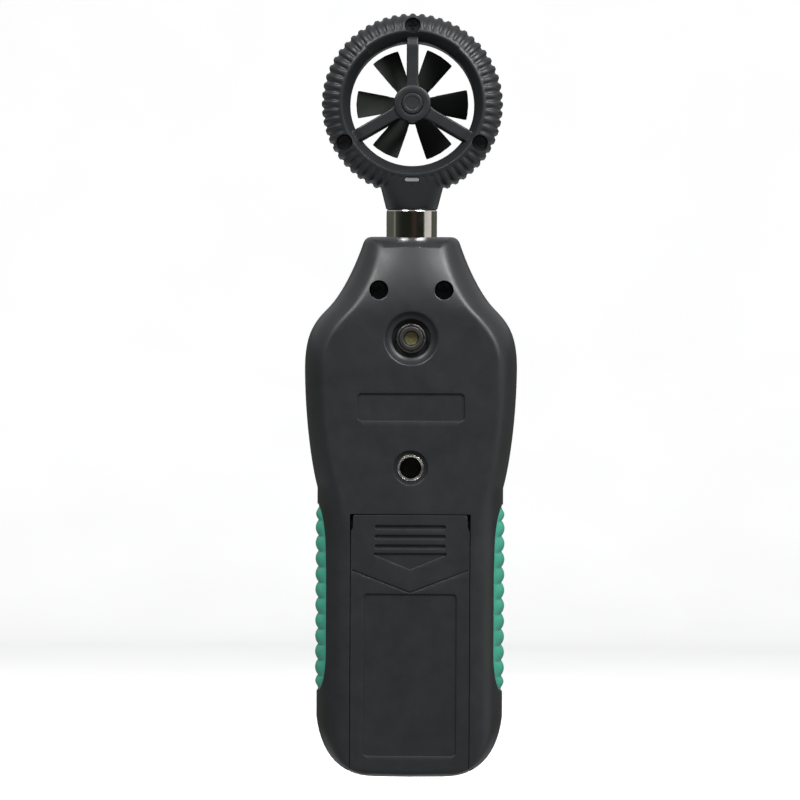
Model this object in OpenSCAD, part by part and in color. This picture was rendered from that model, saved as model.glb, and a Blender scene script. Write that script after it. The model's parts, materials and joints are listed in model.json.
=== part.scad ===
// Handheld vane anemometer: a meter body with a sliding battery door, six keys and a
// display, and a six-bladed vane head that turns on a plated neck tube.
// Millimetres. Z runs up the meter, +Y is the back (battery door side), -Y is the display side.
// Inside the modules z is measured from the body's bottom end and y from its mid-plane;
// in_frame() then puts the origin at the mouth of the tripod socket.

/* [Meter body] */
// Width of the body at its widest, across the display
body_w = 53; // [52.6:0.1:53.4]
// Width of the body at the waist and along the grips
waist_w = 46.4; // [46:0.1:46.8]
// Depth of the body from the display face to the back face
body_d = 32; // [31.8:0.1:32.6]
// Wall thickness of the two covers
wall = 2.2; // [2:0.1:2.4]

/* [Vane head] */
// Radius of the head at the crests of its flutes
head_r = 22.6; // [22.4:0.1:23]
// Radius of the air duct
duct_r = 15.5; // [15.3:0.1:15.7]
// Depth of the head along the air stream
head_d = 20; // [19:0.5:21]
// Number of flutes round the head
flutes = 60; // [48:12:72]
// Radius of the impeller at its blade tips
impeller_r = 14; // [13.6:0.1:14.2]
// Number of blades
blades = 6; // [5:1:7]
// Pitch of the blades against the plane of rotation, in degrees
blade_pitch = 45; // [40:1:50]

/* [Neck] */
// Outside radius of the plated neck tube
tube_r = 6.32; // [6.25:0.01:6.38]
// Bore radius of the neck tube
tube_bore_r = 4.2; // [4:0.1:4.3]

/* [Interfaces] */
// Minor radius of the 1/4 inch 20 tpi tripod thread
tripod_r = 2.65; // [2.6:0.01:2.7]
// Bore radius of the probe port
jack_r = 1.8; // [1.76:0.01:1.84]
// Travel of each key
key_travel = 0.8; // [0.5:0.1:0.8]

/* [Hidden] */

$fn = 48;
steps = 4;                      // points on each curved stretch of an outline
half_d = body_d / 2;
wide = body_w / 2;
waist = waist_w / 2;
body_h = 134.7;
gap = 0.05;                     // clearance between pieces that only touch

// Heights of the features on the back, above the body's bottom end
tripod_z = 77.1;
jack_z = 109.2;
label_z = 92.1;
label_size = [26.7, 6.9];
label_deep = 0.5;
upper_screws = [for (s = [-1, 1]) [8.1 * s, 121.2]];
lower_screws = [for (s = [-1, 1]) [10.5 * s, 63]];
insert_face = half_d - 0.8;     // the socket's mouth, a little below the back face
insert_r = 3.3;                 // outside radius of the insert's visible end

// Battery bay and door
door_half = 14.75;
door_top = 65.4;
bay_half = 14;
bay_z = [4.4, 58.4];
bay_floor = -4.4;
battery_size = [26.5, 17.5, 48.5];
door_under = half_d - 2;        // inner face of the door's plate
latch_low = 13.4;               // underside of the door's latch tab, clear of the battery
mark_deep = 0.5;                // depth of the door's grooves and arrow
groove_top = 62.4;
groove_pitch = 2.4;
panel_size = [23.1, 40.3];
panel_z = 25.75;

// Head
head_z = 167.7;
half_head = head_d / 2;
flute_depth = 0.65;
head_screw_r = 19.5;
spoke_w = 2.9;
spoke_angles = [90, 210, 330];  // from +X towards +Z, so one spoke points up
hub_r = 4.6;
slot_z = head_z - 18.95;
neck_z = 141.5;                 // bottom edge of the head's neck
tube_z = [126.4, 146.6];
spigot_r = 5.3;                 // the tube's reduced end, inside the head's neck
clip_z = 127.2;
ledge_z = 126.35;               // the tube's lower end turns on this ledge

// Keys: name, x, z
key_size = [12.6, 7.4];
key_rows = [55, 43.5, 32];
key_x = 9;
lens_size = [39, 31];
lens_z = 91.5;
lcd_size = [36.5, 28];

function bez(p, t) = p[0] * pow(1 - t, 3) + 3 * p[1] * pow(1 - t, 2) * t
  + 3 * p[2] * (1 - t) * t * t + p[3] * pow(t, 3);
// Points along a curve or a straight run, without its last point
function curve(p, n) = [for (i = [0:n - 1]) bez(p, i / n)];
function run(a, b, n) = [for (i = [0:n - 1]) a + (b - a) * i / n];
function unit(v) = v / norm(v);
function span(c, h) = [c - h, c + h];

// Right half of the silhouette, from the middle of the bottom to the middle of the top
outline = concat(
  run([0, 0], [8.2, 0.1], 1),
  curve([[8.2, 0.1], [17.2, 0.1], [waist - 1.1, 5.4], [waist, 15]], steps),
  run([waist, 15], [waist, 72], 5),
  curve([[waist, 72], [waist + 1.4, 77], [wide - 0.2, 88], [wide, 101]], steps),
  curve([[wide, 101], [wide + 0.1, 109.6], [24.7, 112.9], [20.95, 116.6]], steps),
  curve([[20.95, 116.6], [17.6, 119.9], [14.3, 126.5], [12.1, 133]], steps),
  curve([[12.1, 133], [11.75, 134], [11.1, 134.6], [10, 134.65]], 2),
  run([10, 134.65], [0, body_h], 1),
  [[0, body_h]]);

// Half width of the back's flat face beside the battery door and up to the waist
function low_ridge(z) = door_half + 4.9 * pow(max(0, (z - 48) / 27), 2);
ridge_rear = concat(
  run([0, 1.9], [10, 1.95], 1),
  curve([[10, 1.95], [13.6, 2], [door_half, 2.4], [door_half, 4.5]], steps),
  [for (i = [0:4]) [low_ridge(4.5 + 13.5 * i), 4.5 + 13.5 * i]],
  curve([[low_ridge(72), 72], [20.7, 79], [22.1, 90], [22.2, 101]], steps),
  curve([[22.2, 101], [22.25, 109], [18.4, 112], [14.2, 116.9]], steps),
  curve([[14.2, 116.9], [11.4, 120.6], [8.8, 126], [7.9, 131.6]], steps),
  curve([[7.9, 131.6], [7.8, 132.4], [7.4, 132.7], [6.8, 132.7]], 2),
  run([6.8, 132.7], [0, 132.8], 1),
  [[0, 132.8]]);
front_low = waist - 3.2;
ridge_front = concat(
  run([0, 2.2], [8, 2.3], 1),
  curve([[8, 2.3], [15, 2.4], [front_low, 8], [front_low, 16]], steps),
  run([front_low, 16], [front_low, 72], 5),
  curve([[front_low, 72], [waist - 2, 77.5], [wide - 3.6, 88], [wide - 3.4, 101]], steps),
  curve([[wide - 3.4, 101], [wide - 3.4, 107.5], [22, 110.8], [17.6, 115.4]], steps),
  curve([[17.6, 115.4], [14.8, 118.6], [11.4, 124.6], [9.3, 131]], steps),
  curve([[9.3, 131], [9, 132], [8.4, 132.3], [7.6, 132.3]], 2),
  run([7.6, 132.3], [0, 132.4], 1),
  [[0, 132.4]]);

// The back and front faces are flat, and lean inwards above the shoulders
function face_y(z) = half_d - 4.5 * pow(max(0, (z - 115) / 17.7), 2);
function ease(t) = let (u = min(max(t, 0), 1)) u * u * (3 - 2 * u);
// 1 where the side runs smoothly into the face, beside the door; less where a ridge parts them
function fullness(z) = 1 - 0.2 * ease((z - 48) / 26);
function mirrored(p) = [for (i = [len(p) - 2:-1:1]) [-p[i][0], p[i][1]]];
function whole(p) = concat(p, mirrored(p));

// A point between silhouette o and ridge r, t from 0 at the parting plane to 1 at the ridge
function shell_point(o, r, t) = let (
    s = bez([0, 0, 0.22, 1], t),
    y = bez([0, 0.55, fullness(r[1]), 1], t) * face_y(r[1]),
    p = o + (r - o) * s)
  [p[0], y, p[1]];
edge_steps = 4;

// Solid half of the body on the +Y side of the parting plane
module half_solid(ridge) {
  o = whole(outline);
  r = whole(ridge);
  n = len(o);
  m = edge_steps;
  top = len(outline) - 1;
  function at(i, j) = (i % n) * (m + 1) + j;
  function other(i) = (n - i) % n;
  points = [for (i = [0:n - 1]) for (j = [0:m]) shell_point(o[i], r[i], j / m)];
  sides = [for (i = [0:n - 1]) for (j = [0:m - 1]) each
    [[at(i, j), at(i + 1, j), at(i, j + 1)], [at(i + 1, j), at(i + 1, j + 1), at(i, j + 1)]]];
  function cap(j, flip) = [for (i = [0:top - 1]) each let (
      a = at(i, j), b = at(i + 1, j), c = at(other(i + 1), j), d = at(other(i), j),
      t = concat(i == 0 ? [] : [[a, b, d]], i == top - 1 ? [] : [[b, c, d]]))
    [for (f = t) flip ? f : [f[0], f[2], f[1]]]];
  polyhedron(points, concat(sides, cap(0, false), cap(m, true)));
}

module rear_solid() half_solid(ridge_rear);
module front_solid() mirror([0, 1, 0]) half_solid(ridge_front);

// Moves a piece from body coordinates to the part's frame
module in_frame() translate([0, -insert_face, -tripod_z]) children();
// Extrudes a shape drawn in X and Z from y0 to y1
module along_y(y0, y1) translate([0, y1, 0]) rotate([90, 0, 0]) linear_extrude(y1 - y0) children();
// A cylinder along Y from y0 to y1, at x and z
module rod_y(x, z, r, y0, y1) translate([x, y1, z]) rotate([90, 0, 0]) cylinder(r = r, h = y1 - y0);
module cone_y(x, z, r0, y0, r1, y1) translate([x, y0, z]) rotate([-90, 0, 0]) cylinder(r1 = r0, r2 = r1, h = y1 - y0);
module rod_z(r, z0, z1) translate([0, 0, z0]) cylinder(r = r, h = z1 - z0);
// A box given by its limits
module block(x, y, z) translate([x[0], y[0], z[0]]) cube([x[1] - x[0], y[1] - y[0], z[1] - z[0]]);
module rounded(w, h, r, n = 5) polygon([for (c = [0:3]) for (i = [0:n]) let (
    a = 90 * c + 90 * i / n,
    cx = (c == 0 || c == 3) ? w / 2 - r : r - w / 2,
    cy = c < 2 ? h / 2 - r : r - h / 2)
  [cx + r * cos(a), cy + r * sin(a)]]);
module at_xz(x, z) translate([x, z]) children();

// Tube of n sides along a route; side is a direction that the route never runs along
module wire(route, r, side, n = 8) {
  last = len(route) - 1;
  function ring(i) = let (
      t = unit(route[min(i + 1, last)] - route[max(i - 1, 0)]),
      u = unit(cross(t, side)),
      v = cross(t, u))
    [for (k = [0:n - 1]) route[i] + r * (cos(360 * k / n) * u + sin(360 * k / n) * v)];
  points = concat([for (i = [0:last]) each ring(i)], [route[0], route[last]]);
  sides = [for (i = [0:last - 1]) for (k = [0:n - 1]) let (k1 = (k + 1) % n) each
    [[i * n + k, (i + 1) * n + k, i * n + k1], [(i + 1) * n + k, (i + 1) * n + k1, i * n + k1]]];
  ends = [for (k = [0:n - 1]) let (k1 = (k + 1) % n) each
    [[(last + 1) * n, k, k1], [(last + 1) * n + 1, last * n + k1, last * n + k]]];
  polyhedron(points, concat(sides, ends));
}
function smooth_route(p, n) = concat(
  [for (i = [0:3:len(p) - 4]) each curve([p[i], p[i + 1], p[i + 2], p[i + 3]], n)], [p[len(p) - 1]]);

// ---------------------------------------------------------------- grips
grip_z = [21.2, 68];
grip_ribs = 12;
grip_pitch = (grip_z[1] - grip_z[0]) / grip_ribs;
grip_deep = 1.5;
grip_wrap = 0.57;               // how far round the side a grip reaches, as shell_point's t
grip_round = 9.5;               // length of its rounded ends
grip_proud = 0.4;               // depth of the valleys between its ribs below the case's side
grip_rib = 0.8;
function grip_reach(u) = let (
    from_end = min(u, 1 - u) * (grip_z[1] - grip_z[0]) / grip_round)
  grip_wrap * pow(1 - pow(1 - min(from_end, 1), 2), 0.23);
function grip_point(z, t, inset) = let (
    f = abs(t),
    ridge = t < 0 ? waist - 3.2 : low_ridge(z),
    p = shell_point([waist, z], [ridge, z], f),
    q = shell_point([waist, z], [ridge, z], f + 0.02),
    d = unit([q[0] - p[0], q[1] - p[1]]),
    x = p[0] - d[1] * inset,
    y = p[1] + d[0] * inset)
  [x, t < 0 ? -y : y, z];
// A patch of the side, from outer inset to inner inset, with ribs of the given height. Its lines are evenly
// spaced, or closer together towards its ends
module side_patch(lines, rows, outer, inner, rib, reach_more, z_more, even) {
  function height(u) = grip_z[0] - z_more + u * (grip_z[1] - grip_z[0] + 2 * z_more);
  function bump(u) = rib * pow(abs(sin(180 * grip_ribs * u)), 0.8);
  function pt(i, k, inset, with_rib) = let (
      u = even ? i / lines : (1 - cos(180 * i / lines)) / 2,
      reach = grip_reach(min(max(u, 0.004), 0.996)) + reach_more)
    grip_point(height(u), reach * (2 * k / rows - 1), inset - (with_rib ? bump(u) : 0));
  a = [for (i = [0:lines]) for (k = [0:rows]) pt(i, k, outer, true)];
  b = [for (i = [0:lines]) for (k = [0:rows]) pt(i, k, inner, false)];
  n = len(a);
  w = rows + 1;
  skin = [for (i = [0:lines - 1]) for (k = [0:rows - 1]) let (p = i * w + k) each [
    [p, p + w, p + 1], [p + 1, p + w, p + w + 1],
    [n + p, n + p + 1, n + p + w], [n + p + 1, n + p + w + 1, n + p + w]]];
  ends = [for (k = [0:rows - 1]) let (q = lines * w + k) each [
    [k, k + 1, n + k], [k + 1, n + k + 1, n + k],
    [q, n + q, q + 1], [q + 1, n + q, n + q + 1]]];
  edges = [for (i = [0:lines - 1]) let (p = i * w, q = i * w + rows) each [
    [p, n + p, p + w], [p + w, n + p, n + p + w],
    [q, q + w, n + q], [q + w, n + q + w, n + q]]];
  polyhedron(concat(a, b), concat(skin, ends, edges));
}
module grip() side_patch(grip_ribs * 4, 6, grip_proud, grip_deep - gap, grip_rib, -0.012, -0.1, true);
module grip_seat() side_patch(24, 6, -1.5, grip_deep, 0, 0, 0, false);

// ---------------------------------------------------------------- covers
module screw_boss_cut(p, floor_y) {
  rod_y(p[0], p[1], 2.35, floor_y, half_d + 1);
  rod_y(p[0], p[1], 1.3, -1, floor_y + 1);
}

module rear_cavity() {
  along_y(-1, 8.5) intersection() {
    offset(delta = -wall) polygon(whole(outline));
    translate([-40, 0]) square([80, 124.6]);
  }
  along_y(8, half_d - 2.1) intersection() {
    offset(delta = -1.6) polygon(whole(ridge_rear));
    translate([-40, 68.2]) square([80, 45.8]);
  }
}

module bay_walls() {
  block([-15.4, 15.4], [0, 10], [2.4, 59.6]);
  // below the parting plane the walls stay inside the front cover
  along_y(bay_floor - 1.2, 0.1) intersection() {
    offset(delta = -wall - 0.3) polygon(whole(outline));
    translate([-15.4, 2.6]) square([30.8, 57]);
  }
  block([-door_half, door_half], [9, 13.9], [2.4, 59.6]);
  for (s = [-1, 1]) block(span(15.1 * s, 2.1), [10.5, 14.2], [9, 67]);
  block([-15.4, 15.4], [9.6, 11], [58.4, 68.2]);
  block([-17.2, 17.2], [9.6, 14.2], [67, 68.4]);
}

module rear_cover() color("#2b2d31") in_frame() difference() {
  union() {
    difference() {
      rear_solid();
      rear_cavity();
    }
    bay_walls();
    for (p = upper_screws) rod_y(p[0], p[1], 3.6, 1, 13);
    for (p = lower_screws) rod_y(p[0], p[1], 3.3, 1, 10);
    rod_y(0, tripod_z, 6.4, 5.6, 14.4);
    rod_y(0, jack_z, 6.9, 10.4, 14.4);
  }
  // battery bay, door opening, door rails and latch pocket
  block([-bay_half, bay_half], [bay_floor, half_d + 1], bay_z);
  block([-door_half - 0.2, door_half + 0.2], [11, half_d + 1], [58, door_top + 0.25]);
  block([-door_half - 0.2, door_half + 0.2], [door_under - 0.1, half_d + 1], [-1, door_top + 0.25]);
  block([-door_half - 0.2, door_half + 0.2], [2, half_d + 1], [-1, 2.4]);
  block([-16, 16], [12.4, door_under + 0.1], [-1, door_top + 0.25]);
  block([-5.3, 5.3], [12.4, door_under + 0.1], [60, 67.1]);
  // way out for the foam pad on the door
  block([-11.5, 11.5], [battery_y[1] - 0.2, half_d], [-1, 58]);
  // lead hole at the top of the bay
  block([-4, 4], [-3, 1], [57, 61]);
  for (p = upper_screws) screw_boss_cut(p, 5);
  for (p = lower_screws) screw_boss_cut(p, 7);
  // tripod insert seat
  rod_y(0, tripod_z, 4.3, insert_face - 0.2, half_d + 1);
  rod_y(0, tripod_z, insert_r + gap, 12, half_d);
  rod_y(0, tripod_z, 4.6 + gap, 5, 13);
  // dished well of the jack
  cone_y(0, jack_z, 5.1, half_d - 1.5, 6.95, half_d + 0.1);
  rod_y(0, jack_z, 4.85, 12.2, half_d);
  rod_y(0, jack_z, 2.95 + gap, 9, 13);
  // shallow label recess
  along_y(half_d - label_deep, half_d + 1) at_xz(0, label_z) rounded(label_size[0], label_size[1], 1);
  neck_seat();
  for (s = [0, 1]) mirror([s, 0, 0]) grip_seat();
}

// Running seat for the neck tube, its clip and its O-ring, shared by the two covers
module neck_seat() {
  rod_z(tube_r + 0.06, ledge_z, 136);
  rod_z(8.2, ledge_z, clip_z + 0.9);
  rod_z(3, 122, 127);
  translate([0, 0, 131]) rotate_extrude() translate([7, 0]) square([1.3, 1.3], center = true);
}

module front_cavity() {
  along_y(-13.9, 1) intersection() {
    offset(delta = -wall - 2.2) polygon(whole(outline));
    translate([-40, 0]) square([80, 114]);
  }
  along_y(pcb_front - gap, 1) intersection() {
    offset(delta = -wall) polygon(whole(outline));
    translate([-40, 0]) square([80, 124.6]);
  }
}

module front_cover() color("#2b2d31") in_frame() difference() {
  union() {
    difference() {
      front_solid();
      front_cavity();
    }
    for (p = concat(upper_screws, lower_screws)) rod_y(p[0], p[1], 3, -14.2, 1 - gap);
    for (p = pcb_holes) rod_y(p[0], p[1], 2.2, -14.2, pcb_front);
  }
  for (p = concat(upper_screws, lower_screws)) rod_y(p[0], p[1], 1.12, -9, 2);
  for (p = pcb_holes) rod_y(p[0], p[1], 0.8, -12.5, 0);
  // window and the lens's recess
  along_y(-half_d - 1, -half_d + 1.4) at_xz(0, lens_z) rounded(lens_size[0], lens_size[1], 2.4);
  along_y(-half_d - 1, -12) at_xz(0, lens_z) rounded(lcd_size[0] - 2, lcd_size[1] - 2, 1.2);
  for (k = keys) along_y(-half_d - 1, -12) at_xz(k[0], k[1]) rounded(key_size[0] + 0.5, key_size[1] + 0.5, 2.5);
  neck_seat();
  for (s = [0, 1]) mirror([s, 0, 0]) grip_seat();
}

module grip_left() color("#3fa287") in_frame() mirror([1, 0, 0]) grip();
module grip_right() color("#3fa287") in_frame() grip();

// A V-shaped band of the given thickness, from its two ends at x and top down to its point
module chevron(x, top, point, thick) polygon([[-x, top], [0, point], [x, top],
  [x, top - thick], [0, point - thick], [-x, top - thick]]);

// Door: plate and end lip cut from the body's own shape, with rails and a latch tab
module battery_door() color("#2a2c30") in_frame() {
  difference() {
    union() {
      intersection() {
        rear_solid();
        union() {
          block([-door_half, door_half], [door_under, half_d + 1], [-1, door_top]);
          block([-door_half, door_half], [2.2, half_d + 1], [-1, 2.2]);
        }
      }
      for (s = [-1, 1]) block(span(14.65 * s, 1.15), [12.6, 13.6], [9, 64]);
      for (s = [-1, 1]) block(span(14.1 * s, 0.6), [12.6, door_under + 0.1], [9, 64]);
      // latch tab, which passes over the battery as the door slides
      block([-5, 5], [latch_low, door_under + 0.1], [62, 65]);
      block([-5, 5], [latch_low, door_under - 0.05], [62, 66.8]);
    }
    // finger grooves above the arrow, and the sunk panel
    for (i = [0:2]) along_y(half_d - mark_deep, half_d + 1)
      at_xz(0, groove_top - groove_pitch * i) rounded(17.6, 1, 0.48);
    along_y(half_d - mark_deep, half_d + 1) polygon([[-9, 56], [9, 56], [9, 55.4], [0, 51.8], [-9, 55.4]]);
    along_y(half_d - mark_deep + 0.1, half_d + 1) at_xz(0, panel_z) rounded(panel_size[0], panel_size[1], 1);
    along_y(half_d - mark_deep / 2, half_d + 1) chevron(14.4, 51.9, 46.4, 0.5);
  }
}

// ---------------------------------------------------------------- display and keys
pcb_front = -8.6;
pcb_back = -7;
pcb_holes = [[-17.5, 72.5], [17.5, 72.5], [-17, 24], [17, 24]];
keys = [for (z = key_rows) for (s = [-1, 1]) [key_x * s, z]];

module display_lens() color("#9fb0b8", 0.5) in_frame()
  along_y(-half_d, -half_d + 1.35) at_xz(0, lens_z) rounded(lens_size[0] - 0.3, lens_size[1] - 0.3, 2.25);

module lcd_panel() color("#8f9d8a") in_frame() {
  block([-lcd_size[0] / 2, lcd_size[0] / 2], [-13.6, -12.5], span(lens_z, lcd_size[1] / 2));
  block([-lcd_size[0] / 2, lcd_size[0] / 2], [-12.5, -11.4], span(lens_z, lcd_size[1] / 2 + 1.2));
}

module lcd_frame() color("#202225") in_frame() difference() {
  along_y(-13.2, pcb_front) at_xz(0, lens_z) rounded(38.6, 32.4, 1);
  along_y(-14, -8) at_xz(0, lens_z) square([lcd_size[0] + 0.3, lcd_size[1] + 2.7], center = true);
}

module lcd_elastomers() color("#c9c4b8") in_frame() for (s = [-1, 1])
  block([-17.5, 17.5], [-11.4, pcb_front], span(lens_z + s * 13.9, 0.9));

module main_pcb() color("#1f5a3a") in_frame() difference() {
  along_y(pcb_front, pcb_back) polygon([[-17, 16], [17, 16], [19.4, 22], [19.4, 72], [21.6, 80], [21.6, 106],
    [14, 116], [-14, 116], [-21.6, 106], [-21.6, 80], [-19.4, 72], [-19.4, 22]]);
  for (p = lower_screws) rod_y(p[0], p[1], 3.4, -10, -5);
  for (p = pcb_holes) rod_y(p[0], p[1], 1.1, -10, -5);
}

module pcb_components() color("#17181a") in_frame() {
  block([-6, 6], [pcb_back, -5.4], [84, 96]);
  block([9, 14], [pcb_back, -5.2], [86, 93]);
  block([-13, -9.5], [pcb_back, -4.6], [90, 99]);
  for (i = [0:4]) block([-16 + 2.6 * i, -14.6 + 2.6 * i], [pcb_back, -6.2], [77, 78.2]);
  for (i = [0:4]) block([6 + 2.6 * i, 7.4 + 2.6 * i], [pcb_back, -6.2], [101, 102.2]);
  block([-3.2, 3.2], [pcb_back, -4], [112.2, 115.2]);
  block([-3.2, 3.2], [pcb_back, -4.2], [67.5, 70.5]);
}

module key_dome_mat() color("#6d7176") in_frame() {
  along_y(-9.6, pcb_front) polygon([[-17, 27.5], [17, 27.5], [17, 62.5], [14.6, 62.5], [14.6, 59],
    [6.4, 59], [6.4, 62.5], [-6.4, 62.5], [-6.4, 59], [-14.6, 59], [-14.6, 62.5], [-17, 62.5]]);
  for (k = keys) cone_y(k[0], k[1], 2, -10.55, 3.2, -9.6);
}

// A key: cap through the cover, and a flange behind it
module key(i) color(i == 0 ? "#3fa287" : "#585c62") in_frame() {
  along_y(-half_d - 0.9, -13) at_xz(keys[i][0], keys[i][1]) rounded(key_size[0], key_size[1], 2.3);
  along_y(-13.8, -12.4) at_xz(keys[i][0], keys[i][1]) rounded(key_size[0] + 2, key_size[1] + 2, 3);
  rod_y(keys[i][0], keys[i][1], 1.8, -13, -10.55 - key_travel - 0.1);
}
module key_power() key(0);
module key_hold() key(1);
module key_max_min() key(2);
module key_unit() key(3);
module key_temperature() key(4);
module key_backlight() key(5);

// ---------------------------------------------------------------- battery
battery_y = [bay_floor + 0.2, bay_floor + 0.2 + battery_size[1]];
battery_z = [bay_z[0] + 0.2, bay_z[0] + 0.2 + 46.4];

module battery() color("#3a3d42") in_frame()
  translate([0, (battery_y[0] + battery_y[1]) / 2, battery_z[0]]) linear_extrude(46.4)
    rounded(battery_size[0], battery_size[1], 2);

module battery_terminals() color("#b9bcc0") in_frame() for (s = [-1, 1])
  translate([6.4 * s, 4.6, 0]) rod_z(s > 0 ? 2.7 : 3.6, battery_z[1], battery_z[1] + 2.1);

module battery_snap() color("#1b1c1e") in_frame() difference() {
  block([-12, 12], [-1, 10], [battery_z[1] + 0.2, battery_z[1] + 4.4]);
  for (s = [-1, 1]) translate([6.4 * s, 4.6, 0]) rod_z(s > 0 ? 2.75 : 3.65, battery_z[1] - 1, battery_z[1] + 2.15);
}

module battery_leads() color("#a02420") in_frame() for (s = [-1, 1])
  wire(smooth_route([[2 * s, 2, 55.8], [2 * s, 2, 57], [1.6 * s, -1.6, 56.4], [1.6 * s, -1.6, 58.2],
    [1.6 * s, -1.6, 62], [1.6 * s, -5.5, 63], [1.6 * s, -5.5, 67.4]], 5), 0.55, [1, 0, 0]);

module battery_foam() color("#2e2f31") in_frame()
  block([-11, 11], [battery_y[1] + 0.02, door_under - 0.12], [14, 42]);

// ---------------------------------------------------------------- tripod socket and jack
module tripod_insert() color("#b8b6b0") in_frame() difference() {
  union() {
    rod_y(0, tripod_z, insert_r, 12, insert_face);
    rod_y(0, tripod_z, 4.6, 6, 13 - gap);
  }
  rod_y(0, tripod_z, tripod_r, 6.9, insert_face + 1);
}

jack_face = 14.1;
jack_end = -0.3;
contact_deep = 1.6;
module jack_barrel() color("#b6b4ad") in_frame() difference() {
  rod_y(0, jack_z, 2.95, jack_end, jack_face);
  rod_y(0, jack_z, jack_r, jack_end - 1, jack_face + 1);
  cone_y(0, jack_z, jack_r, jack_face - 0.37, jack_r + 0.37, jack_face + 0.001);
}
module jack_nut() color("#8e8f90") in_frame() difference() {
  rod_y(0, jack_z, 3.7, 12.2 + gap, 13.8);
  rod_y(0, jack_z, 2.95 + gap, 12, 14);
  for (a = [0, 90]) translate([0, 13.9, jack_z]) rotate([0, a, 0]) cube([9, 0.9, 0.9], center = true);
}
module jack_body() color("#1a1b1d") in_frame() difference() {
  block([-4.4, 4.4], [-1.6, 10.4 - gap], [jack_z - 4.4, jack_z + 4.4]);
  rod_y(0, jack_z, 2.95 + gap, jack_end - 0.4, 11);
}
// Turned centre contact: a flat head just inside the mouth, on a stem down to the port's foot
module jack_contact() color("#a08a4c") in_frame() {
  rod_y(0, jack_z, jack_r - gap, jack_face - contact_deep - 0.5, jack_face - contact_deep);
  rod_y(0, jack_z, 0.8, jack_end - 0.35, jack_face - contact_deep - 0.45);
}
module jack_leads() color("#7d1f1c") in_frame() for (s = [-1, 1])
  wire(smooth_route([[3 * s, -1.75, 107], [3 * s, -3.4, 107], [3 * s, -3.4, 105], [3 * s, -3.6, 103.5],
    [3 * s, -3.8, 102], [3 * s, -4.6, 101], [3 * s, -7, 101]], 4), 0.45, [1, 0, 0]);

// ---------------------------------------------------------------- fasteners
// Pan-head screw along Y with its head's bearing face at y, pointing to -Y, with a cross recess
module screw(p, y, head_r, head_h, shank_r, length) difference() {
  union() {
    rod_y(p[0], p[1], head_r, y, y + head_h);
    rod_y(p[0], p[1], shank_r, y - length, y + 0.1);
  }
  for (a = [0, 90]) translate([p[0], y + head_h, p[1]]) rotate([0, a, 0])
    cube([head_r * 1.2, head_h, head_r * 0.3], center = true);
}
module case_screws() color("#8d9093") in_frame() {
  for (p = upper_screws) screw(p, 5 + gap, 2.1, 1.6, 1.1, 12.5);
  for (p = lower_screws) screw(p, 7 + gap, 2.1, 1.6, 1.1, 14.5);
}
module pcb_screws() color("#8d9093") in_frame() for (p = pcb_holes)
  screw(p, pcb_back + gap, 1.7, 1.1, 0.78, 4.6);

// ---------------------------------------------------------------- neck
module neck_oring() color("#151617") in_frame() translate([0, 0, 131])
  rotate_extrude() translate([tube_r + 0.03 + 0.58, 0]) circle(r = 0.58);

module sensor_lead() color("#3c3f44") in_frame()
  wire(smooth_route([[0, 0, 124.8], [0, 0, 120], [0, -5.4, 121], [0, -5.4, 115.35]], 8), 1.1, [1, 0, 0]);

module neck_tube() color("#c9c9c6") in_frame() difference() {
  union() {
    rod_z(tube_r, tube_z[0], neck_z - gap);
    rod_z(spigot_r, neck_z - 1, tube_z[1]);
  }
  rod_z(tube_bore_r, tube_z[0] - 1, tube_z[1] + 1);
  translate([0, 0, clip_z + 0.4]) difference() {
    cylinder(r = 9, h = 0.9, center = true);
    cylinder(r = 5.8, h = 2, center = true);
  }
}
module neck_clip() color("#77797c") in_frame() difference() {
  rod_z(7.7, clip_z, clip_z + 0.8);
  rod_z(5.8 + gap, clip_z - 1, clip_z + 2);
  block([-3.2, 3.2], [0, 9], [clip_z - 1, clip_z + 2]);
}

// ---------------------------------------------------------------- vane head
// Flutes with sloping sides between narrow crests; one crest points straight up
function flute_r(a) = let (turn = a * flutes / 360, q = abs(2 * (turn - floor(turn)) - 1))
  head_r - flute_depth * (1 - ease((q - 0.15) / 0.7));
module flute_outline() polygon([for (i = [0:flutes * 4 - 1]) let (a = 90 + 360 * i / (flutes * 4))
  flute_r(a - 90) * [cos(a), sin(a)]]);
// Half section of the ring on +Y: radius and y
ring_section = [[duct_r, 0], [duct_r, 6.2], [17.6, half_head - 0.8], [18.2, half_head - 0.4],
  [20.2, half_head - 0.9], [21.8, half_head - 2.4], [head_r + 0.1, half_head - 4.4], [head_r + 0.1, 0]];

pickup_angle = 210;
function polar(r, a, y) = [r * cos(a), y, head_z + r * sin(a)];
wire_step = polar(17.8, pickup_angle + 9, 0) - polar(14.5, pickup_angle, 0);
wire_turn = atan2(wire_step[2], wire_step[0]);

module at_head() translate([0, 0, head_z]) children();
// Turns a radius-and-height section about the head's air-stream axis, heights along +Y
module spin_y() rotate([-90, 0, 0]) rotate_extrude() children();

module neck_block() hull() {
  rod_z(6.46, neck_z, neck_z + 0.2);
  translate([0, 0, 149]) linear_extrude(0.2) rounded(16.6, 17.6, 4);
}

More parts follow.
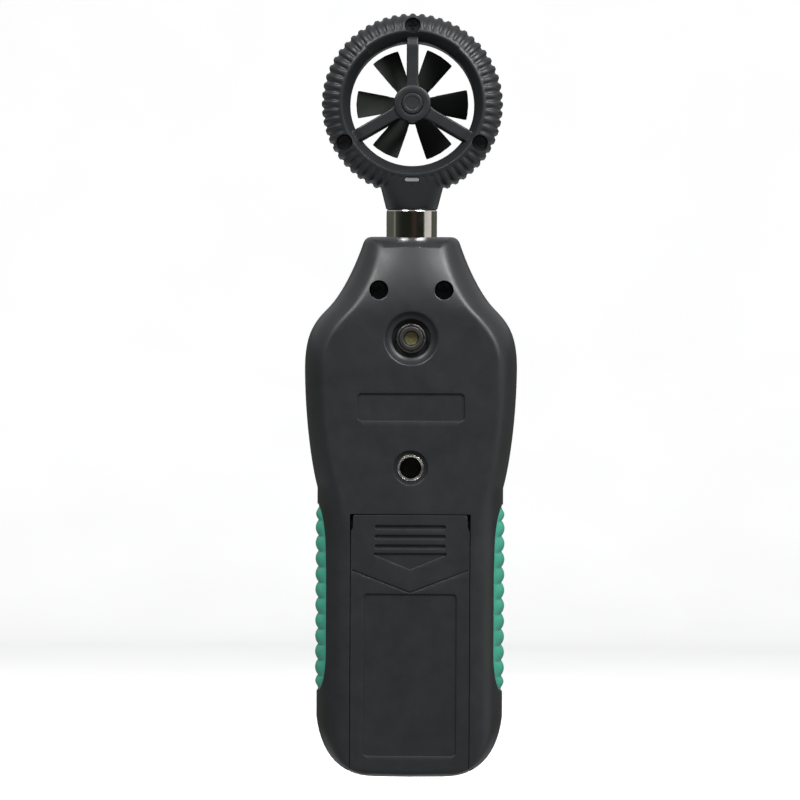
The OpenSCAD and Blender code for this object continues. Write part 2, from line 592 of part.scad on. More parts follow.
module head_half() {
  difference() {
    union() {
      intersection() {
        translate([0, 0, head_z]) along_y(-1, half_head + 1) flute_outline();
        at_head() spin_y() polygon(ring_section);
      }
      intersection() {
        neck_block();
        block([-12, 12], [0, 12], [140, 152]);
        difference() {
          block([-12, 12], [0, 12], [140, 152]);
          rod_y(0, head_z, 17.4, -1, 13);
        }
      }
      for (a = spoke_angles) translate([0, 0, head_z]) rotate([0, -a, 0])
        block([1, 16.4], [5.6, 8.4], [-spoke_w / 2, spoke_w / 2]);
      rod_y(0, head_z, hub_r, 4.6, 8.9);
    }
    // hollow channel between the screw bosses
    difference() {
      at_head() spin_y() translate([17, -1]) square([3.2, 7.5]);
      for (a = spoke_angles) rod_y(head_screw_r * cos(a), head_z + head_screw_r * sin(a), 2.9, -2, 9);
      block([-9, 9], [4, 9], [140, 151.2]);
    }
    rod_z(spigot_r + 0.01, neck_z - 1, tube_z[1]);
    rod_z(4.4, tube_z[1] - 1, 149.6);
    along_y(-1, half_head + 1) at_xz(0, slot_z) rounded(3.7, 1.05, 0.5);
  }
}

module head_rear() color("#2c2e33") in_frame() difference() {
  head_half();
  for (a = spoke_angles) let (x = head_screw_r * cos(a), z = head_z + head_screw_r * sin(a)) {
    rod_y(x, z, 1.98, 4, half_head + 1);
    rod_y(x, z, 1.2, -1, 5);
  }
  rod_y(0, head_z, 2.6, 8.3, 10);
  rod_y(0, head_z, 1.5, 4, 6.6);
  rod_y(0, head_z, 0.8, 6, 8);
}

module head_front() color("#2c2e33") in_frame() mirror([0, 1, 0]) difference() {
  head_half();
  for (a = spoke_angles) rod_y(head_screw_r * cos(a), head_z + head_screw_r * sin(a), 0.97, -1, 6);
  rod_y(0, head_z, 2.6, 8.3, 10);
  rod_y(0, head_z, 1.5, 4, 6.6);
  rod_y(0, head_z, 0.8, 6, 8);
  // seat for the pickup and a groove for its wire, out through the ring's wall
  translate([0, 0, head_z]) rotate([0, -pickup_angle, 0]) {
    block([2, 4], [4, 5.7], [-1.6, 1.6]);
    block([3.9, 14.9], [4.5, 6.5], [-0.55, 0.55]);
  }
  translate(polar(14.5, pickup_angle, 0)) rotate([0, -wire_turn, 0]) block([-0.2, 4.6], [5.5, 6.6], [-0.55, 0.55]);
}

module head_screws() color("#55585c") in_frame() for (a = spoke_angles)
  screw([head_screw_r * cos(a), head_z + head_screw_r * sin(a)], 4 + gap, 1.8, 1.3, 0.95, 8);

module hub_caps() color("#2f3136") in_frame() for (s = [0, 1]) mirror([0, s, 0]) difference() {
  rod_y(0, head_z, 2.58, 8.3 + gap, 9.3);
  rod_y(0, head_z, 1.7, 9, 9.6);
}

module shaft_bearings() color("#b08d4a") in_frame() for (s = [0, 1]) mirror([0, s, 0]) difference() {
  rod_y(0, head_z, 1.48, 4.6, 6.6 - gap);
  rod_y(0, head_z, 0.52, 4, 7);
}

module sensor_board() color("#1f5a3a") in_frame() block([-3.6, 3.6], [-0.8, 0.8], [tube_z[1] + 0.05, 147.9]);
module temperature_sensor() color("#8b8d92") in_frame()
  along_y(-1, half_head - 1.2) at_xz(0, slot_z) rounded(3.6, 0.95, 0.46);
module hall_sensor() color("#17181a") in_frame()
  at_head() rotate([0, -pickup_angle, 0]) block([2.1, 3.9], [-5.6, -4.5], [-1.5, 1.5]);
module pickup_wire() color("#3c3f44") in_frame()
  wire(concat([polar(3.97, pickup_angle, -5.2), polar(4.5, pickup_angle, -5.2),
      polar(5.6, pickup_angle, -6), polar(9, pickup_angle, -6),
    polar(14.5, pickup_angle, -6), polar(17.8, pickup_angle + 9, -6)],
    [for (i = [1:5]) polar(18.4, pickup_angle + 9 + 7.4 * i, -6 + 0.9 * i)], [[-3.6, 0, 148.3]]), 0.4, [0, 1, 0]);
module neck_cable() color("#3c3f44") in_frame() rod_z(1.1, 125, tube_z[1] + 0.04);

// ---------------------------------------------------------------- impeller
function half_chord(r) = (0.87 + 0.196 * r) / cos(blade_pitch);
module blade() intersection() {
  rotate([blade_pitch, 0, 0]) translate([0, 0.3, 0]) rotate([90, 0, 0]) linear_extrude(0.6)
    polygon([[2.5, -half_chord(3.4)], [14.4, -half_chord(14.4)], [14.4, half_chord(14.4)], [2.5, half_chord(3.4)]]);
  rod_y(0, 0, impeller_r, -4, 4);
}
module impeller() color("#141517") in_frame() difference() {
  union() {
    rod_y(0, head_z, 3.9, -3.4, 3.4);
    for (i = [0:blades - 1]) at_head() rotate([0, -360 / blades * i, 0]) blade();
  }
  rod_y(0, head_z, 0.5, -5, 5);
  rod_y(0, head_z, 2.9, -4, -1.9);
}
module impeller_shaft() color("#c4c6c8") in_frame() rod_y(0, head_z, 0.5, -6.9, 6.9);
module hub_magnet() color("#5f6266") in_frame() difference() {
  rod_y(0, head_z, 2.85, -3.7, -1.9 - 0.01);
  rod_y(0, head_z, 0.52, -5, 0);
}

rear_cover();
front_cover();
grip_left();
grip_right();
battery_door();
display_lens();
lcd_panel();
lcd_frame();
lcd_elastomers();
main_pcb();
pcb_components();
key_dome_mat();
key_power();
key_hold();
key_max_min();
key_unit();
key_temperature();
key_backlight();
battery();
battery_terminals();
battery_snap();
battery_leads();
battery_foam();
tripod_insert();
jack_barrel();
jack_nut();
jack_body();
jack_contact();
jack_leads();
case_screws();
pcb_screws();
neck_oring();
sensor_lead();
neck_tube();
neck_clip();
head_rear();
head_front();
head_screws();
hub_caps();
shaft_bearings();
sensor_board();
temperature_sensor();
hall_sensor();
pickup_wire();
neck_cable();
impeller();
impeller_shaft();
hub_magnet();
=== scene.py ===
"""Looks of the vane anemometer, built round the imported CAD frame.

Shapes are worked out in millimetres in body coordinates: z from the meter's foot, y from its
mid-plane towards the back, x across it. put() turns them into the frame's metres.
"""

import json
import math

import bmesh
import bpy
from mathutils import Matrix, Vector


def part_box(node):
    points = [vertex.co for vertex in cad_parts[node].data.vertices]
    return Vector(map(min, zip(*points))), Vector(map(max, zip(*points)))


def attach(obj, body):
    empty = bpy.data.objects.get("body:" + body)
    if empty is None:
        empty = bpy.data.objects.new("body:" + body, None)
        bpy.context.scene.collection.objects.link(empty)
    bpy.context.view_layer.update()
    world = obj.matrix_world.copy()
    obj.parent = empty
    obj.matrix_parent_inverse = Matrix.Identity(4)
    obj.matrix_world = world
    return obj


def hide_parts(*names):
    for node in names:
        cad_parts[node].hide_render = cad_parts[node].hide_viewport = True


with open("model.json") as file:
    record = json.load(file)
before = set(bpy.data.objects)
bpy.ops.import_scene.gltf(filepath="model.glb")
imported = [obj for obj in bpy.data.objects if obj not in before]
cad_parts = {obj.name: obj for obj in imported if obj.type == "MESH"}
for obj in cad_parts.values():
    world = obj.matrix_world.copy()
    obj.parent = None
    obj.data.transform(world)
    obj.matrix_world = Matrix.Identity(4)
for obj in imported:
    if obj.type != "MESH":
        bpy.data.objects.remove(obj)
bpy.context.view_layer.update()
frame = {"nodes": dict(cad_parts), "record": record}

# ------------------------------------------------------------------ places, from the frame
MM = 0.001
joints = {j["name"]: j for j in frame["record"]["behaviour"]["joints"]}
mid_y = joints["head_swivel"]["pos_m"][1]
foot_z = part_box("front_cover")[0][2]


def put(x, y, z):
    return (x * MM, mid_y + y * MM, foot_z + z * MM)


def low(node):
    """Lowest corner of a CAD node in body millimetres."""
    x, y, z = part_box(node)[0]
    return Vector((x / MM, (y - mid_y) / MM, (z - foot_z) / MM))


def high(node):
    x, y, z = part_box(node)[1]
    return Vector((x / MM, (y - mid_y) / MM, (z - foot_z) / MM))


def middle(node):
    return (low(node) + high(node)) / 2


half_d = -low("front_cover").y
wide = high("front_cover").x
waist = wide - 3.3
body_h = high("front_cover").z
door_travel = joints["battery_door_slide"]["range_m"][1]
head_z = (joints["impeller_spin"]["pos_m"][2] - foot_z) / MM
head_r = high("head_rear").x
half_head = high("head_rear").y
duct_r = head_r - 7.1
door_half = 14.75
door_top = 65.4
door_under = half_d - 2
tripod_z = middle("tripod_insert").z
insert_face = high("tripod_insert").y
jack_z = middle("jack_barrel").z
jack_face = high("jack_barrel").y
contact_face = high("jack_contact").y
port_r = 1.8            # bore of the port's bushing
label_z = 92.1
upper_screws = [(8.1 * s, 121.2) for s in (-1, 1)]
lower_screws = [(10.5 * s, 63) for s in (-1, 1)]
screw_r = 2.35          # radius of the wells over the case's screws
screw_clocks = (0, 120, 240)


# ------------------------------------------------------------------ mesh helpers
def mesh_object(name, verts, faces):
    """A closed mesh with merged doubles and outward normals."""
    mesh = bpy.data.meshes.new(name)
    mesh.from_pydata(verts, [], faces)
    bm = bmesh.new()
    bm.from_mesh(mesh)
    bmesh.ops.remove_doubles(bm, verts=bm.verts, dist=2e-6)
    bmesh.ops.dissolve_degenerate(bm, edges=bm.edges, dist=1e-7)
    bmesh.ops.delete(bm, geom=[e for e in bm.edges if not e.link_faces], context="EDGES")
    bmesh.ops.recalc_face_normals(bm, faces=bm.faces)
    bm.to_mesh(mesh)
    bm.free()
    obj = bpy.data.objects.new(name, mesh)
    bpy.context.scene.collection.objects.link(obj)
    return obj


def loft(name, rings, closed=False):
    """Skin through rings of equal length. closed joins the last to the first; otherwise both are capped."""
    n = len(rings[0])
    verts = [p for ring in rings for p in ring]
    spans = len(rings) if closed else len(rings) - 1
    faces = []
    for i in range(spans):
        a, b = i * n, (i + 1) % len(rings) * n
        faces += [(a + k, a + (k + 1) % n, b + (k + 1) % n, b + k) for k in range(n)]
    if not closed:
        faces += [tuple(range(n)), tuple(range((len(rings) - 1) * n, len(rings) * n))]
    return mesh_object(name, verts, faces)


def offset_loop(loop, grow):
    """The closed 2-D loop moved outwards by grow, with mitred corners."""
    n = len(loop)
    area = sum(loop[i - 1][0] * loop[i][1] - loop[i][0] * loop[i - 1][1] for i in range(n))
    side = 1 if area > 0 else -1
    out = []
    for i in range(n):
        a, p, b = (Vector(loop[j % n]) for j in (i - 1, i, i + 1))
        e0, e1 = (p - a).normalized(), (b - p).normalized()
        n0, n1 = Vector((e0.y, -e0.x)) * side, Vector((e1.y, -e1.x)) * side
        m = n0 + n1
        m = m / max(m.dot(n0), 0.4)
        out.append(tuple(p + m * grow))
    return out


def tower(name, outline, levels):
    """A solid of one outline in X and Z, grown by each level's first value at its second, y."""
    return loft(name, [[put(x, y, z) for x, z in offset_loop(outline, grow)] for grow, y in levels])


def block(name, x, y, z):
    return tower(name, [(x[0], z[0]), (x[1], z[0]), (x[1], z[1]), (x[0], z[1])], [(0, y[0]), (0, y[1])])


def round_rect(w, h, r, cx, cz, steps=6):
    """Outline of a rectangle with rounded corners."""
    out = []
    for corner, (sx, sz) in enumerate(((1, 1), (-1, 1), (-1, -1), (1, -1))):
        for i in range(steps + 1):
            a = math.radians(90 * corner + 90 * i / steps)
            x, z = sx * (w / 2 - r), sz * (h / 2 - r)
            out.append((cx + x + r * math.cos(a), cz + z + r * math.sin(a)))
    return out


TURNED = 96         # facets round a turned piece


def circle(r, cx=0, cz=0, n=64):
    return [(cx + r * math.cos(math.tau * i / n), cz + r * math.sin(math.tau * i / n)) for i in range(n)]


def lathe(name, profile, x, z):
    """Solid turned about an axis along Y through x and z. profile lists (radius, y) and closes on itself."""
    rings = [[put(x + r * c, y, z + r * s) for r, y in profile] for c, s in circle(1, n=TURNED)]
    return loft(name, rings, closed=True)


def lathe_z(name, profile, n=TURNED):
    """Solid turned about the neck's own axis. profile lists (radius, z)."""
    rings = [[put(r * c, r * s, z) for r, z in profile] for c, s in circle(1, n=n)]
    return loft(name, rings, closed=True)


def combine(target, others, operation="DIFFERENCE"):
    """Cuts, joins or intersects target with each of the others, which are used up."""
    for other in others:
        mod = target.modifiers.new("combine", "BOOLEAN")
        mod.operation = operation
        mod.solver = "MANIFOLD"
        mod.object = other
    graph = bpy.context.evaluated_depsgraph_get()
    mesh = bpy.data.meshes.new_from_object(target.evaluated_get(graph))
    mesh.name = target.name
    target.modifiers.clear()
    target.data = mesh
    for other in others:
        bpy.data.objects.remove(other)
    return target


def join(name, parts):
    """Several loose solids as one piece."""
    verts, faces = [], []
    for part in parts:
        base = len(verts)
        verts += [tuple(v.co) for v in part.data.vertices]
        faces += [tuple(base + i for i in p.vertices) for p in part.data.polygons]
        bpy.data.objects.remove(part)
    mesh = bpy.data.meshes.new(name)
    mesh.from_pydata(verts, [], faces)
    obj = bpy.data.objects.new(name, mesh)
    bpy.context.scene.collection.objects.link(obj)
    return obj


def smooth(obj, angle):
    """Smooth faces with sharp edges kept above the angle, and area-weighted normals."""
    obj.data.polygons.foreach_set("use_smooth", [True] * len(obj.data.polygons))
    obj.data.set_sharp_from_angle(angle=math.radians(angle))
    mod = obj.modifiers.new("normals", "WEIGHTED_NORMAL")
    mod.keep_sharp = True
    return obj


# ------------------------------------------------------------------ curves
def bez(p, t):
    """Point of a cubic curve, for numbers or for points."""
    w = ((1 - t) ** 3, 3 * (1 - t) ** 2 * t, 3 * (1 - t) * t * t, t ** 3)
    if isinstance(p[0], (int, float)):
        return sum(a * b for a, b in zip(w, p))
    return tuple(sum(a * q[k] for a, q in zip(w, p)) for k in range(len(p[0])))


def curve(p, n=14):
    """Points along a cubic curve, without its last."""
    return [bez(p, i / n) for i in range(n)]


def run(a, b, n):
    """Points along a straight line, without its last."""
    return [tuple(u + (v - u) * i / n for u, v in zip(a, b)) for i in range(n)]


def ease(t):
    """Smooth step from 0 to 1."""
    t = min(max(t, 0), 1)
    return t * t * (3 - 2 * t)


# ------------------------------------------------------------------ the meter's body
STRAIGHT = 24   # points on the straight stretch beside the door
SIDE = 18       # points from the parting plane to the ridge
ACROSS = 22     # points across the flat face


def silhouette():
    """Right half of the body's outline, from the middle of its foot to the middle of its top."""
    return (
        [(0, 0)]
        + curve([(8.2, 0.1), (17.2, 0.1), (waist - 1.1, 5.4), (waist, 15)])
        + run((waist, 15), (waist, 72), STRAIGHT)
        + curve([(waist, 72), (waist + 1.4, 77), (wide - 0.2, 88), (wide, 101)])
        + curve([(wide, 101), (wide + 0.1, 109.6), (24.7, 112.9), (20.95, 116.6)])
        + curve([(20.95, 116.6), (17.6, 119.9), (14.3, 126.5), (12.1, 133)])
        + curve([(12.1, 133), (11.75, 134), (11.1, 134.6), (10, 134.65)], 5)
        + [(10, 134.65), (0, body_h)]
    )


def low_ridge(z):
    """Half width of the flat back beside and above the battery door."""
    return door_half + 4.9 * max(0, (z - 48) / 27) ** 2


def back_ridge():
    """Right half of the edge between the side and the flat back, point for point with silhouette()."""
    return (
        [(0, 1.9)]
        + curve([(10, 1.95), (13.6, 2), (door_half, 2.4), (door_half, 4.5)])
        + [(low_ridge(z), z) for _, z in run((0, 4.5), (0, 72), STRAIGHT)]
        + curve([(low_ridge(72), 72), (20.7, 79), (22.1, 90), (22.2, 101)])
        + curve([(22.2, 101), (22.25, 109), (18.4, 112), (14.2, 116.9)])
        + curve([(14.2, 116.9), (11.4, 120.6), (8.8, 126), (7.9, 131.6)])
        + curve([(7.9, 131.6), (7.8, 132.4), (7.4, 132.7), (6.8, 132.7)], 5)
        + [(6.8, 132.7), (0, 132.8)]
    )


def front_ridge():
    """The same edge on the display side."""
    low_x = waist - 3.2
    return (
        [(0, 2.2)]
        + curve([(8, 2.3), (15, 2.4), (low_x, 8), (low_x, 16)])
        + run((low_x, 16), (low_x, 72), STRAIGHT)
        + curve([(low_x, 72), (waist - 2, 77.5), (wide - 3.6, 88), (wide - 3.4, 101)])
        + curve([(wide - 3.4, 101), (wide - 3.4, 107.5), (22, 110.8), (17.6, 115.4)])
        + curve([(17.6, 115.4), (14.8, 118.6), (11.4, 124.6), (9.3, 131)])
        + curve([(9.3, 131), (9, 132), (8.4, 132.3), (7.6, 132.3)], 5)
        + [(7.6, 132.3), (0, 132.4)]
    )


def face_y(z):
    """The back and front faces are flat, and lean inwards above the shoulders."""
    return half_d - 4.5 * max(0, (z - 115) / 17.7) ** 2


def crown(x, z, ridge_x):
    """How far the upper back falls away from its middle towards its ridges."""
    return 0.9 * ease((z - 113) / 12) * (x / ridge_x) ** 2


def fullness(z):
    """1 where the side runs smoothly into the face, beside the door; less where a ridge parts them."""
    return 1 - 0.2 * ease((z - 48) / 26)


def side_point(o, r, t):
    """Point on the side, from the silhouette point o at t=0 to the ridge point r at t=1."""
    s = bez((0, 0, 0.22, 1), t)
    y = bez((0, 0.55, fullness(r[1]), 1), t) * (face_y(r[1]) - crown(1, r[1], 1))
    return Vector((o[0] + (r[0] - o[0]) * s, y, o[1] + (r[1] - o[1]) * s))


def inward(line, i):
    """Unit normal of an open outline at its point i, towards its inside."""
    a, b = Vector(line[max(i - 1, 0)]), Vector(line[min(i + 1, len(line) - 1)])
    d = (b - a).normalized()
    n = Vector((-d.y, d.x))
    if i in (0, len(line) - 1):
        n = Vector((0, 1 if i == 0 else -1))
    return n


SEAM = 0.22     # chamfer along the parting line
SOFT = 0.9      # width of the rounding at the ridge


def half_shell(name, ridge, back):
    """Solid half of the body, with a soft ridge and a chamfered edge along the parting line."""
    outline = silhouette()
    side = 1 if back else -1
    rows = []
    for i, (o, r) in enumerate(zip(outline, ridge)):
        n_o, n_r = inward(outline, i), inward(ridge, i)
        edge = [(SEAM, 0.0), (SEAM * 0.35, 0.1), (0.0, 0.32)]
        line = [Vector((o[0] + n_o.x * g, y, o[1] + n_o.y * g)) for g, y in edge]
        reach = 1 - SOFT / max((Vector(o) - Vector(r)).length * 2.3, 2.5)
        line += [side_point(o, r, 0.03 + (reach - 0.03) * k / SIDE) for k in range(SIDE + 1)]
        inner = Vector((r[0] + n_r.x * SOFT, r[1] + n_r.y * SOFT))
        if inner.x < 0.2:
            inner.x = 0
        corner = Vector((r[0], face_y(r[1]) - crown(1, r[1], 1), r[1]))
        ridge_x = max(r[0], 0.5)
        end = Vector((inner.x, face_y(inner.y) - crown(inner.x, inner.y, ridge_x), inner.y))
        start = line[-1]
        line += [start * (1 - t) ** 2 + corner * 2 * t * (1 - t) + end * t * t
                 for t in (0.25, 0.5, 0.75, 1)]
        right = [(p.x, p.y * side, p.z) for p in line]
        across = []
        for k in range(1, ACROSS):
            x = end.x * (1 - 2 * k / ACROSS)
            across.append((x, (face_y(end.z) - crown(x, end.z, ridge_x)) * side, end.z))
        left = [(-x, y, z) for x, y, z in reversed(right)]
        rows.append([put(*p) for p in right + across + left])
    return loft(name, rows)


back_half = half_shell("rear_cover_shell", back_ridge(), True)
front_half = half_shell("front_cover", front_ridge(), False)


def both_halves(right):
    """The right half of an outline closed by its mirror image."""
    return right + [(-x, z) for x, z in reversed(right)]


def inset_outline(line, inset, z_from, z_to):
    """The stretch of an outline between two heights, moved inwards, and closed by its mirror image."""
    moved = []
    for i, p in enumerate(line):
        n = inward(line, i)
        q = (max(p[0] + n.x * inset, 0.0), p[1] + n.y * inset)
        if z_from <= q[1] <= z_to and q[0] > 0.5:
            moved.append(q)
    return both_halves(moved)


def pocket(name, outline, floor, face, rim):
    """Cutter for a sunk area, with a rounded rim at the face and a fillet round its floor."""
    s = 1 if face > floor else -1
    return tower(name, outline, [
        (-0.12, floor), (0, floor + 0.12 * s), (0, face - rim * s), (0.3 * rim, face - 0.3 * rim * s),
        (rim, face), (rim + 1, face + s)])


def rod(name, x, z, r, y0, y1):
    return tower(name, circle(r, x, z), [(0, y0), (0, y1)])


# ------------------------------------------------------------------ grips
grip_low = low("grip_right").z
grip_high = high("grip_right").z
GRIP_RIBS = 12
GRIP_DEEP = 1.45
GRIP_WRAP = 0.57        # how far round the side a grip reaches, as side_point's t
GRIP_ROUND = 9.5        # length of its rounded ends
GRIP_PROUD = 0.4        # depth of the valleys between its ribs below the case's side
GRIP_RIB = 0.8          # height of the ribs above the valleys
GRIP_LIMIT = 0.004      # the reach is taken at least this far from either end


def grip_reach(u):
    """How far round the side the grip reaches at u of its length, as side_point's t."""
    from_end = min(u, 1 - u) * (grip_high - grip_low) / GRIP_ROUND
    return GRIP_WRAP * (1 - (1 - min(from_end, 1)) ** 2) ** 0.23


def grip_point(z, t, inset, side):
    """Point of the side surface at height z, moved inwards. Negative t lies on the front cover."""
    ridge = waist - 3.2 if t < 0 else low_ridge(z)
    p = side_point((waist, z), (ridge, z), abs(t))
    q = side_point((waist, z), (ridge, z), abs(t) + 0.02)
    d = Vector((q.x - p.x, q.y - p.y)).normalized()
    x, y = p.x - d.y * inset, p.y + d.x * inset
    return put(x * side, -y if t < 0 else y, z)


def grip_patch(name, side, outer, inner, rib, reach_more, z_more, edge):
    """A patch of the side from one inset to another, ribbed across, with rounded borders."""
    lines, rows = GRIP_RIBS * 16, 28
    length = grip_high - grip_low + 2 * z_more
    verts = []
    for layer in (0, 1):
        for i in range(lines + 1):
            u = i / lines
            reach = grip_reach(min(max(u, GRIP_LIMIT), 1 - GRIP_LIMIT)) + reach_more
            end = min(u, 1 - u) * length
            for k in range(rows + 1):
                v = 2 * k / rows - 1
                border = min(end, (1 - abs(v)) * reach * 13)
                rib_u = u + 0.004 * abs(v)
                round_off = edge * (1 - math.sqrt(1 - (1 - min(border / 1.1, 1)) ** 2)) if edge else 0
                bump = rib * abs(math.sin(math.pi * GRIP_RIBS * rib_u)) ** 0.75 * ease(border / 2.6)
                inset = outer + round_off - bump if layer == 0 else inner
                verts.append(grip_point(grip_low - z_more + u * length, reach * v, inset, side))
    w = rows + 1
    n = (lines + 1) * w
    faces = []
    for i in range(lines):
        for k in range(rows):
            p = i * w + k
            faces += [(p, p + 1, p + w + 1, p + w), (n + p, n + p + w, n + p + w + 1, n + p + 1)]
        for p in (i * w, i * w + rows):
            faces.append((p, p + w, n + p + w, n + p))
    for k in range(rows):
        for p in (k, lines * w + k):
            faces.append((p, p + 1, n + p + 1, n + p))
    return mesh_object(name, verts, faces)


def grip_seats(prefix):
    """Cutters for both grips' seats, a little larger than the grips."""
    return [grip_patch(f"{prefix}_seat_{s}", s, -1.5, GRIP_DEEP + 0.05, 0, 0.004, 0.05, 0)
            for s in (-1, 1)]


# ------------------------------------------------------------------ rear cover and battery door
door_shell = back_half.copy()
door_shell.data = back_half.data.copy()
bpy.context.scene.collection.objects.link(door_shell)


def neck_bore(name):
    """Cutter for the tube's way through a cover, with the O-ring's groove below its mouth."""
    return lathe_z(name, [
        (0, 126.35), (8.2, 126.35), (8.2, 128.1), (6.4, 128.1), (6.4, 134.42), (6.5, 134.6), (6.8, 134.8),
        (8.5, 136), (0, 136)])


def dish():
    """Cutter for the well round the jack: a shallow dish with a fine rim."""
    slope = [(4.95 + 1.55 * t, 14.35 + 1.35 * t ** 1.5) for t in (0, 0.25, 0.5, 0.75, 1)]
    return lathe("dish", [(0, 12.2), (4.85, 12.2), (4.85, 14.25)] + slope
                 + [(6.62, 15.84), (6.78, 15.95), (7.0, 16.0), (7.2, 16.3), (0, 16.6)], 0, jack_z)


DOOR = both_halves([
    (door_half, -1), (door_half, 61.4), (14.2, 62.3), (14.2, 64.9), (13.9, 65.3), (13.5, door_top)])
OPENING = both_halves([(door_half, -1.5), (door_half, door_top - 0.5), (door_half - 0.5, door_top)])
CHEVRON = [(-14.3, 51.9), (0, 46.4), (14.3, 51.9), (14.3, 51.45), (0, 45.9), (-14.3, 51.45)]
ARROW = [(-9, 56), (9, 56), (9, 55.4), (0, 51.8), (-9, 55.4)]

bay_half = 14           # half width of the battery bay
bay_floor = -4.4
bay_low, bay_top = 4.4, 58.4
case_wall, back_wall = 2.2, 1.6
hollow_top = 124.6      # height where the case's hollow ends below the neck
bay_wall_top = 59.6
door_foot = 2.4         # height of the bottom wall that the door's lip passes under
ledge = 14.2            # depth of the walls that meet the back wall
way = (12.4, door_under + 0.1)                      # depth of the ways for the rails and the latch
rail, web, rail_z = (12.6, 13.6), (12.6, door_under + 0.1), (9, 64)

rear = combine(back_half, [
    tower("hollow", inset_outline(silhouette(), case_wall, 0, hollow_top), [(0, -1), (0, 8.5)]),
    tower("hollow", inset_outline(back_ridge(), back_wall, 68.2, 114), [(0, 8), (0, 13.9)])])
rear = combine(rear, [
    block("wall", (-15.4, 15.4), (0, 10), (door_foot, bay_wall_top)),
    block("wall", (-14.9, 14.9), (bay_floor - 1.2, 0.5), (4, bay_wall_top)),
    block("wall", (-door_half, door_half), (9, 13.9), (door_foot, bay_wall_top)),
    block("wall", (-17.2, -13), (10.5, ledge), (9, 67)),
    block("wall", (13, 17.2), (10.5, ledge), (9, 67)),
    block("wall", (-15.4, 15.4), (9.6, 11), (bay_top, 68.2)),
    block("wall", (-17.2, 17.2), (9.6, ledge), (67, 68.4)),
    rod("boss", 0, tripod_z, 6.4, 5.6, 14.4),
    rod("boss", 0, jack_z, 6.9, 10.4, 14.4)]
    + [rod("boss", x, z, 3.6, 1, 13) for x, z in upper_screws]
    + [rod("boss", x, z, 3.3, 1, 10) for x, z in lower_screws], "UNION")
rear = combine(rear, [
    block("bay", (-bay_half, bay_half), (bay_floor, 18), (bay_low, bay_top)),
    block("sill", (-door_half - 0.2, door_half + 0.2), (11, 18), (58, door_top + 0.2)),
    tower("opening", OPENING, [
        (0.12, door_under - 0.1), (0.12, half_d - 0.1), (0.16, half_d - 0.03), (0.24, half_d),
        (1.2, half_d + 1)]),
    block("lip", (-door_half - 0.2, door_half + 0.2), (2, 18), (-1, door_foot)),
    block("rails", (-16, 16), way, (-1, door_top + 0.25)),
    block("latch", (-5.3, 5.3), way, (60, 67.1)),
    block("foam_way", (-11.5, 11.5), (high("battery").y + 0.2, 18), (-1, 58)),
    block("lead_hole", (-4, 4), (-3, 1), (57, 61)),
    neck_bore("neck"), dish(),
    rod("jack_hole", 0, jack_z, 3.0, 9, 13),
    pocket("insert_recess", circle(4.3, 0, tripod_z), insert_face - 0.2, half_d, 0.18),
    rod("insert_hole", 0, tripod_z, 3.36, 12, 16), rod("insert_flange", 0, tripod_z, 4.65, 5, 13),
    pocket("label", round_rect(26.7, 6.9, 1, 0, label_z), half_d - 0.5, half_d, 0.15)]
    + [pocket("screw_well", circle(screw_r, x, z), 5, face_y(z), 0.14) for x, z in upper_screws]
    + [rod("screw_hole", x, z, 1.3, -1, 6) for x, z in upper_screws + lower_screws]
    + [rod("screw_well", x, z, screw_r, 7, 18) for x, z in lower_screws]
    + grip_seats("rear"))
rear.name = "rear_cover_case"

plate = tower("door_plate", DOOR, [
    (0, door_under), (0, half_d - 0.2), (-0.04, half_d - 0.06), (-0.12, half_d), (-0.12, half_d + 1)])
lip = block("lip", (-door_half, door_half), (2.3, door_under + 0.5), (-1, door_foot - 0.2))
plate = combine(plate, [lip], "UNION")
door = combine(door_shell, [plate], "INTERSECT")
door = combine(door, [
    block("rail", (-15.8, -13.5), rail, rail_z), block("rail", (13.5, 15.8), rail, rail_z),
    block("web", (-14.7, -13.5), web, rail_z), block("web", (13.5, 14.7), web, rail_z),
    block("latch", (-5, 5), (13.4, door_under + 0.1), (62, 65)),
    block("latch", (-5, 5), (13.4, door_under - 0.05), (62, 66.8))], "UNION")
GROOVES = [62.4, 60.0, 57.6]
door = combine(door, [
    pocket("groove", round_rect(17.6, 1, 0.48, 0, z), half_d - 0.55, half_d, 0.12) for z in GROOVES]
    + [pocket("arrow", ARROW, half_d - 0.5, half_d, 0.12),
       pocket("chevron", CHEVRON, half_d - 0.25, half_d, 0.1),
       pocket("panel", round_rect(23.1, 40.3, 1, 0, 25.75), half_d - 0.4, half_d, 0.12)])
door.name = "battery_door_plate"


# ------------------------------------------------------------------ front cover and keys
lens_z = middle("display_lens").z
lens_w = high("display_lens").x - low("display_lens").x
lens_h = high("display_lens").z - low("display_lens").z
keys = [n for n in frame["nodes"] if n.startswith("key_") and n != "key_dome_mat"]

front = combine(front_half, [
    tower("hollow", inset_outline(silhouette(), 2 * case_wall, 0, 114), [(0, -13.9), (0, 1)]),
    tower("hollow", inset_outline(silhouette(), case_wall, 0, hollow_top), [(0, -8.65), (0, 1)])])
posts = [rod("post", x, z, 3, -ledge, 0.9) for x, z in upper_screws + lower_screws]
front = combine(front, posts, "UNION")
front = combine(front, [
    pocket("lens_recess", round_rect(lens_w + 0.3, lens_h + 0.3, 2.4, 0, lens_z), -half_d + 1.4, -half_d,
           0.2),
    tower("window", round_rect(34.5, 26, 1.2, 0, lens_z), [(0, -half_d - 1), (0, -12)]),
    neck_bore("neck")]
    + [pocket("key_hole", round_rect(13.1, 7.9, 2.5, middle(k).x, middle(k).z), -12, -half_d, 0.35)
       for k in keys]
    + grip_seats("front"))
front.name = "front_cover_case"


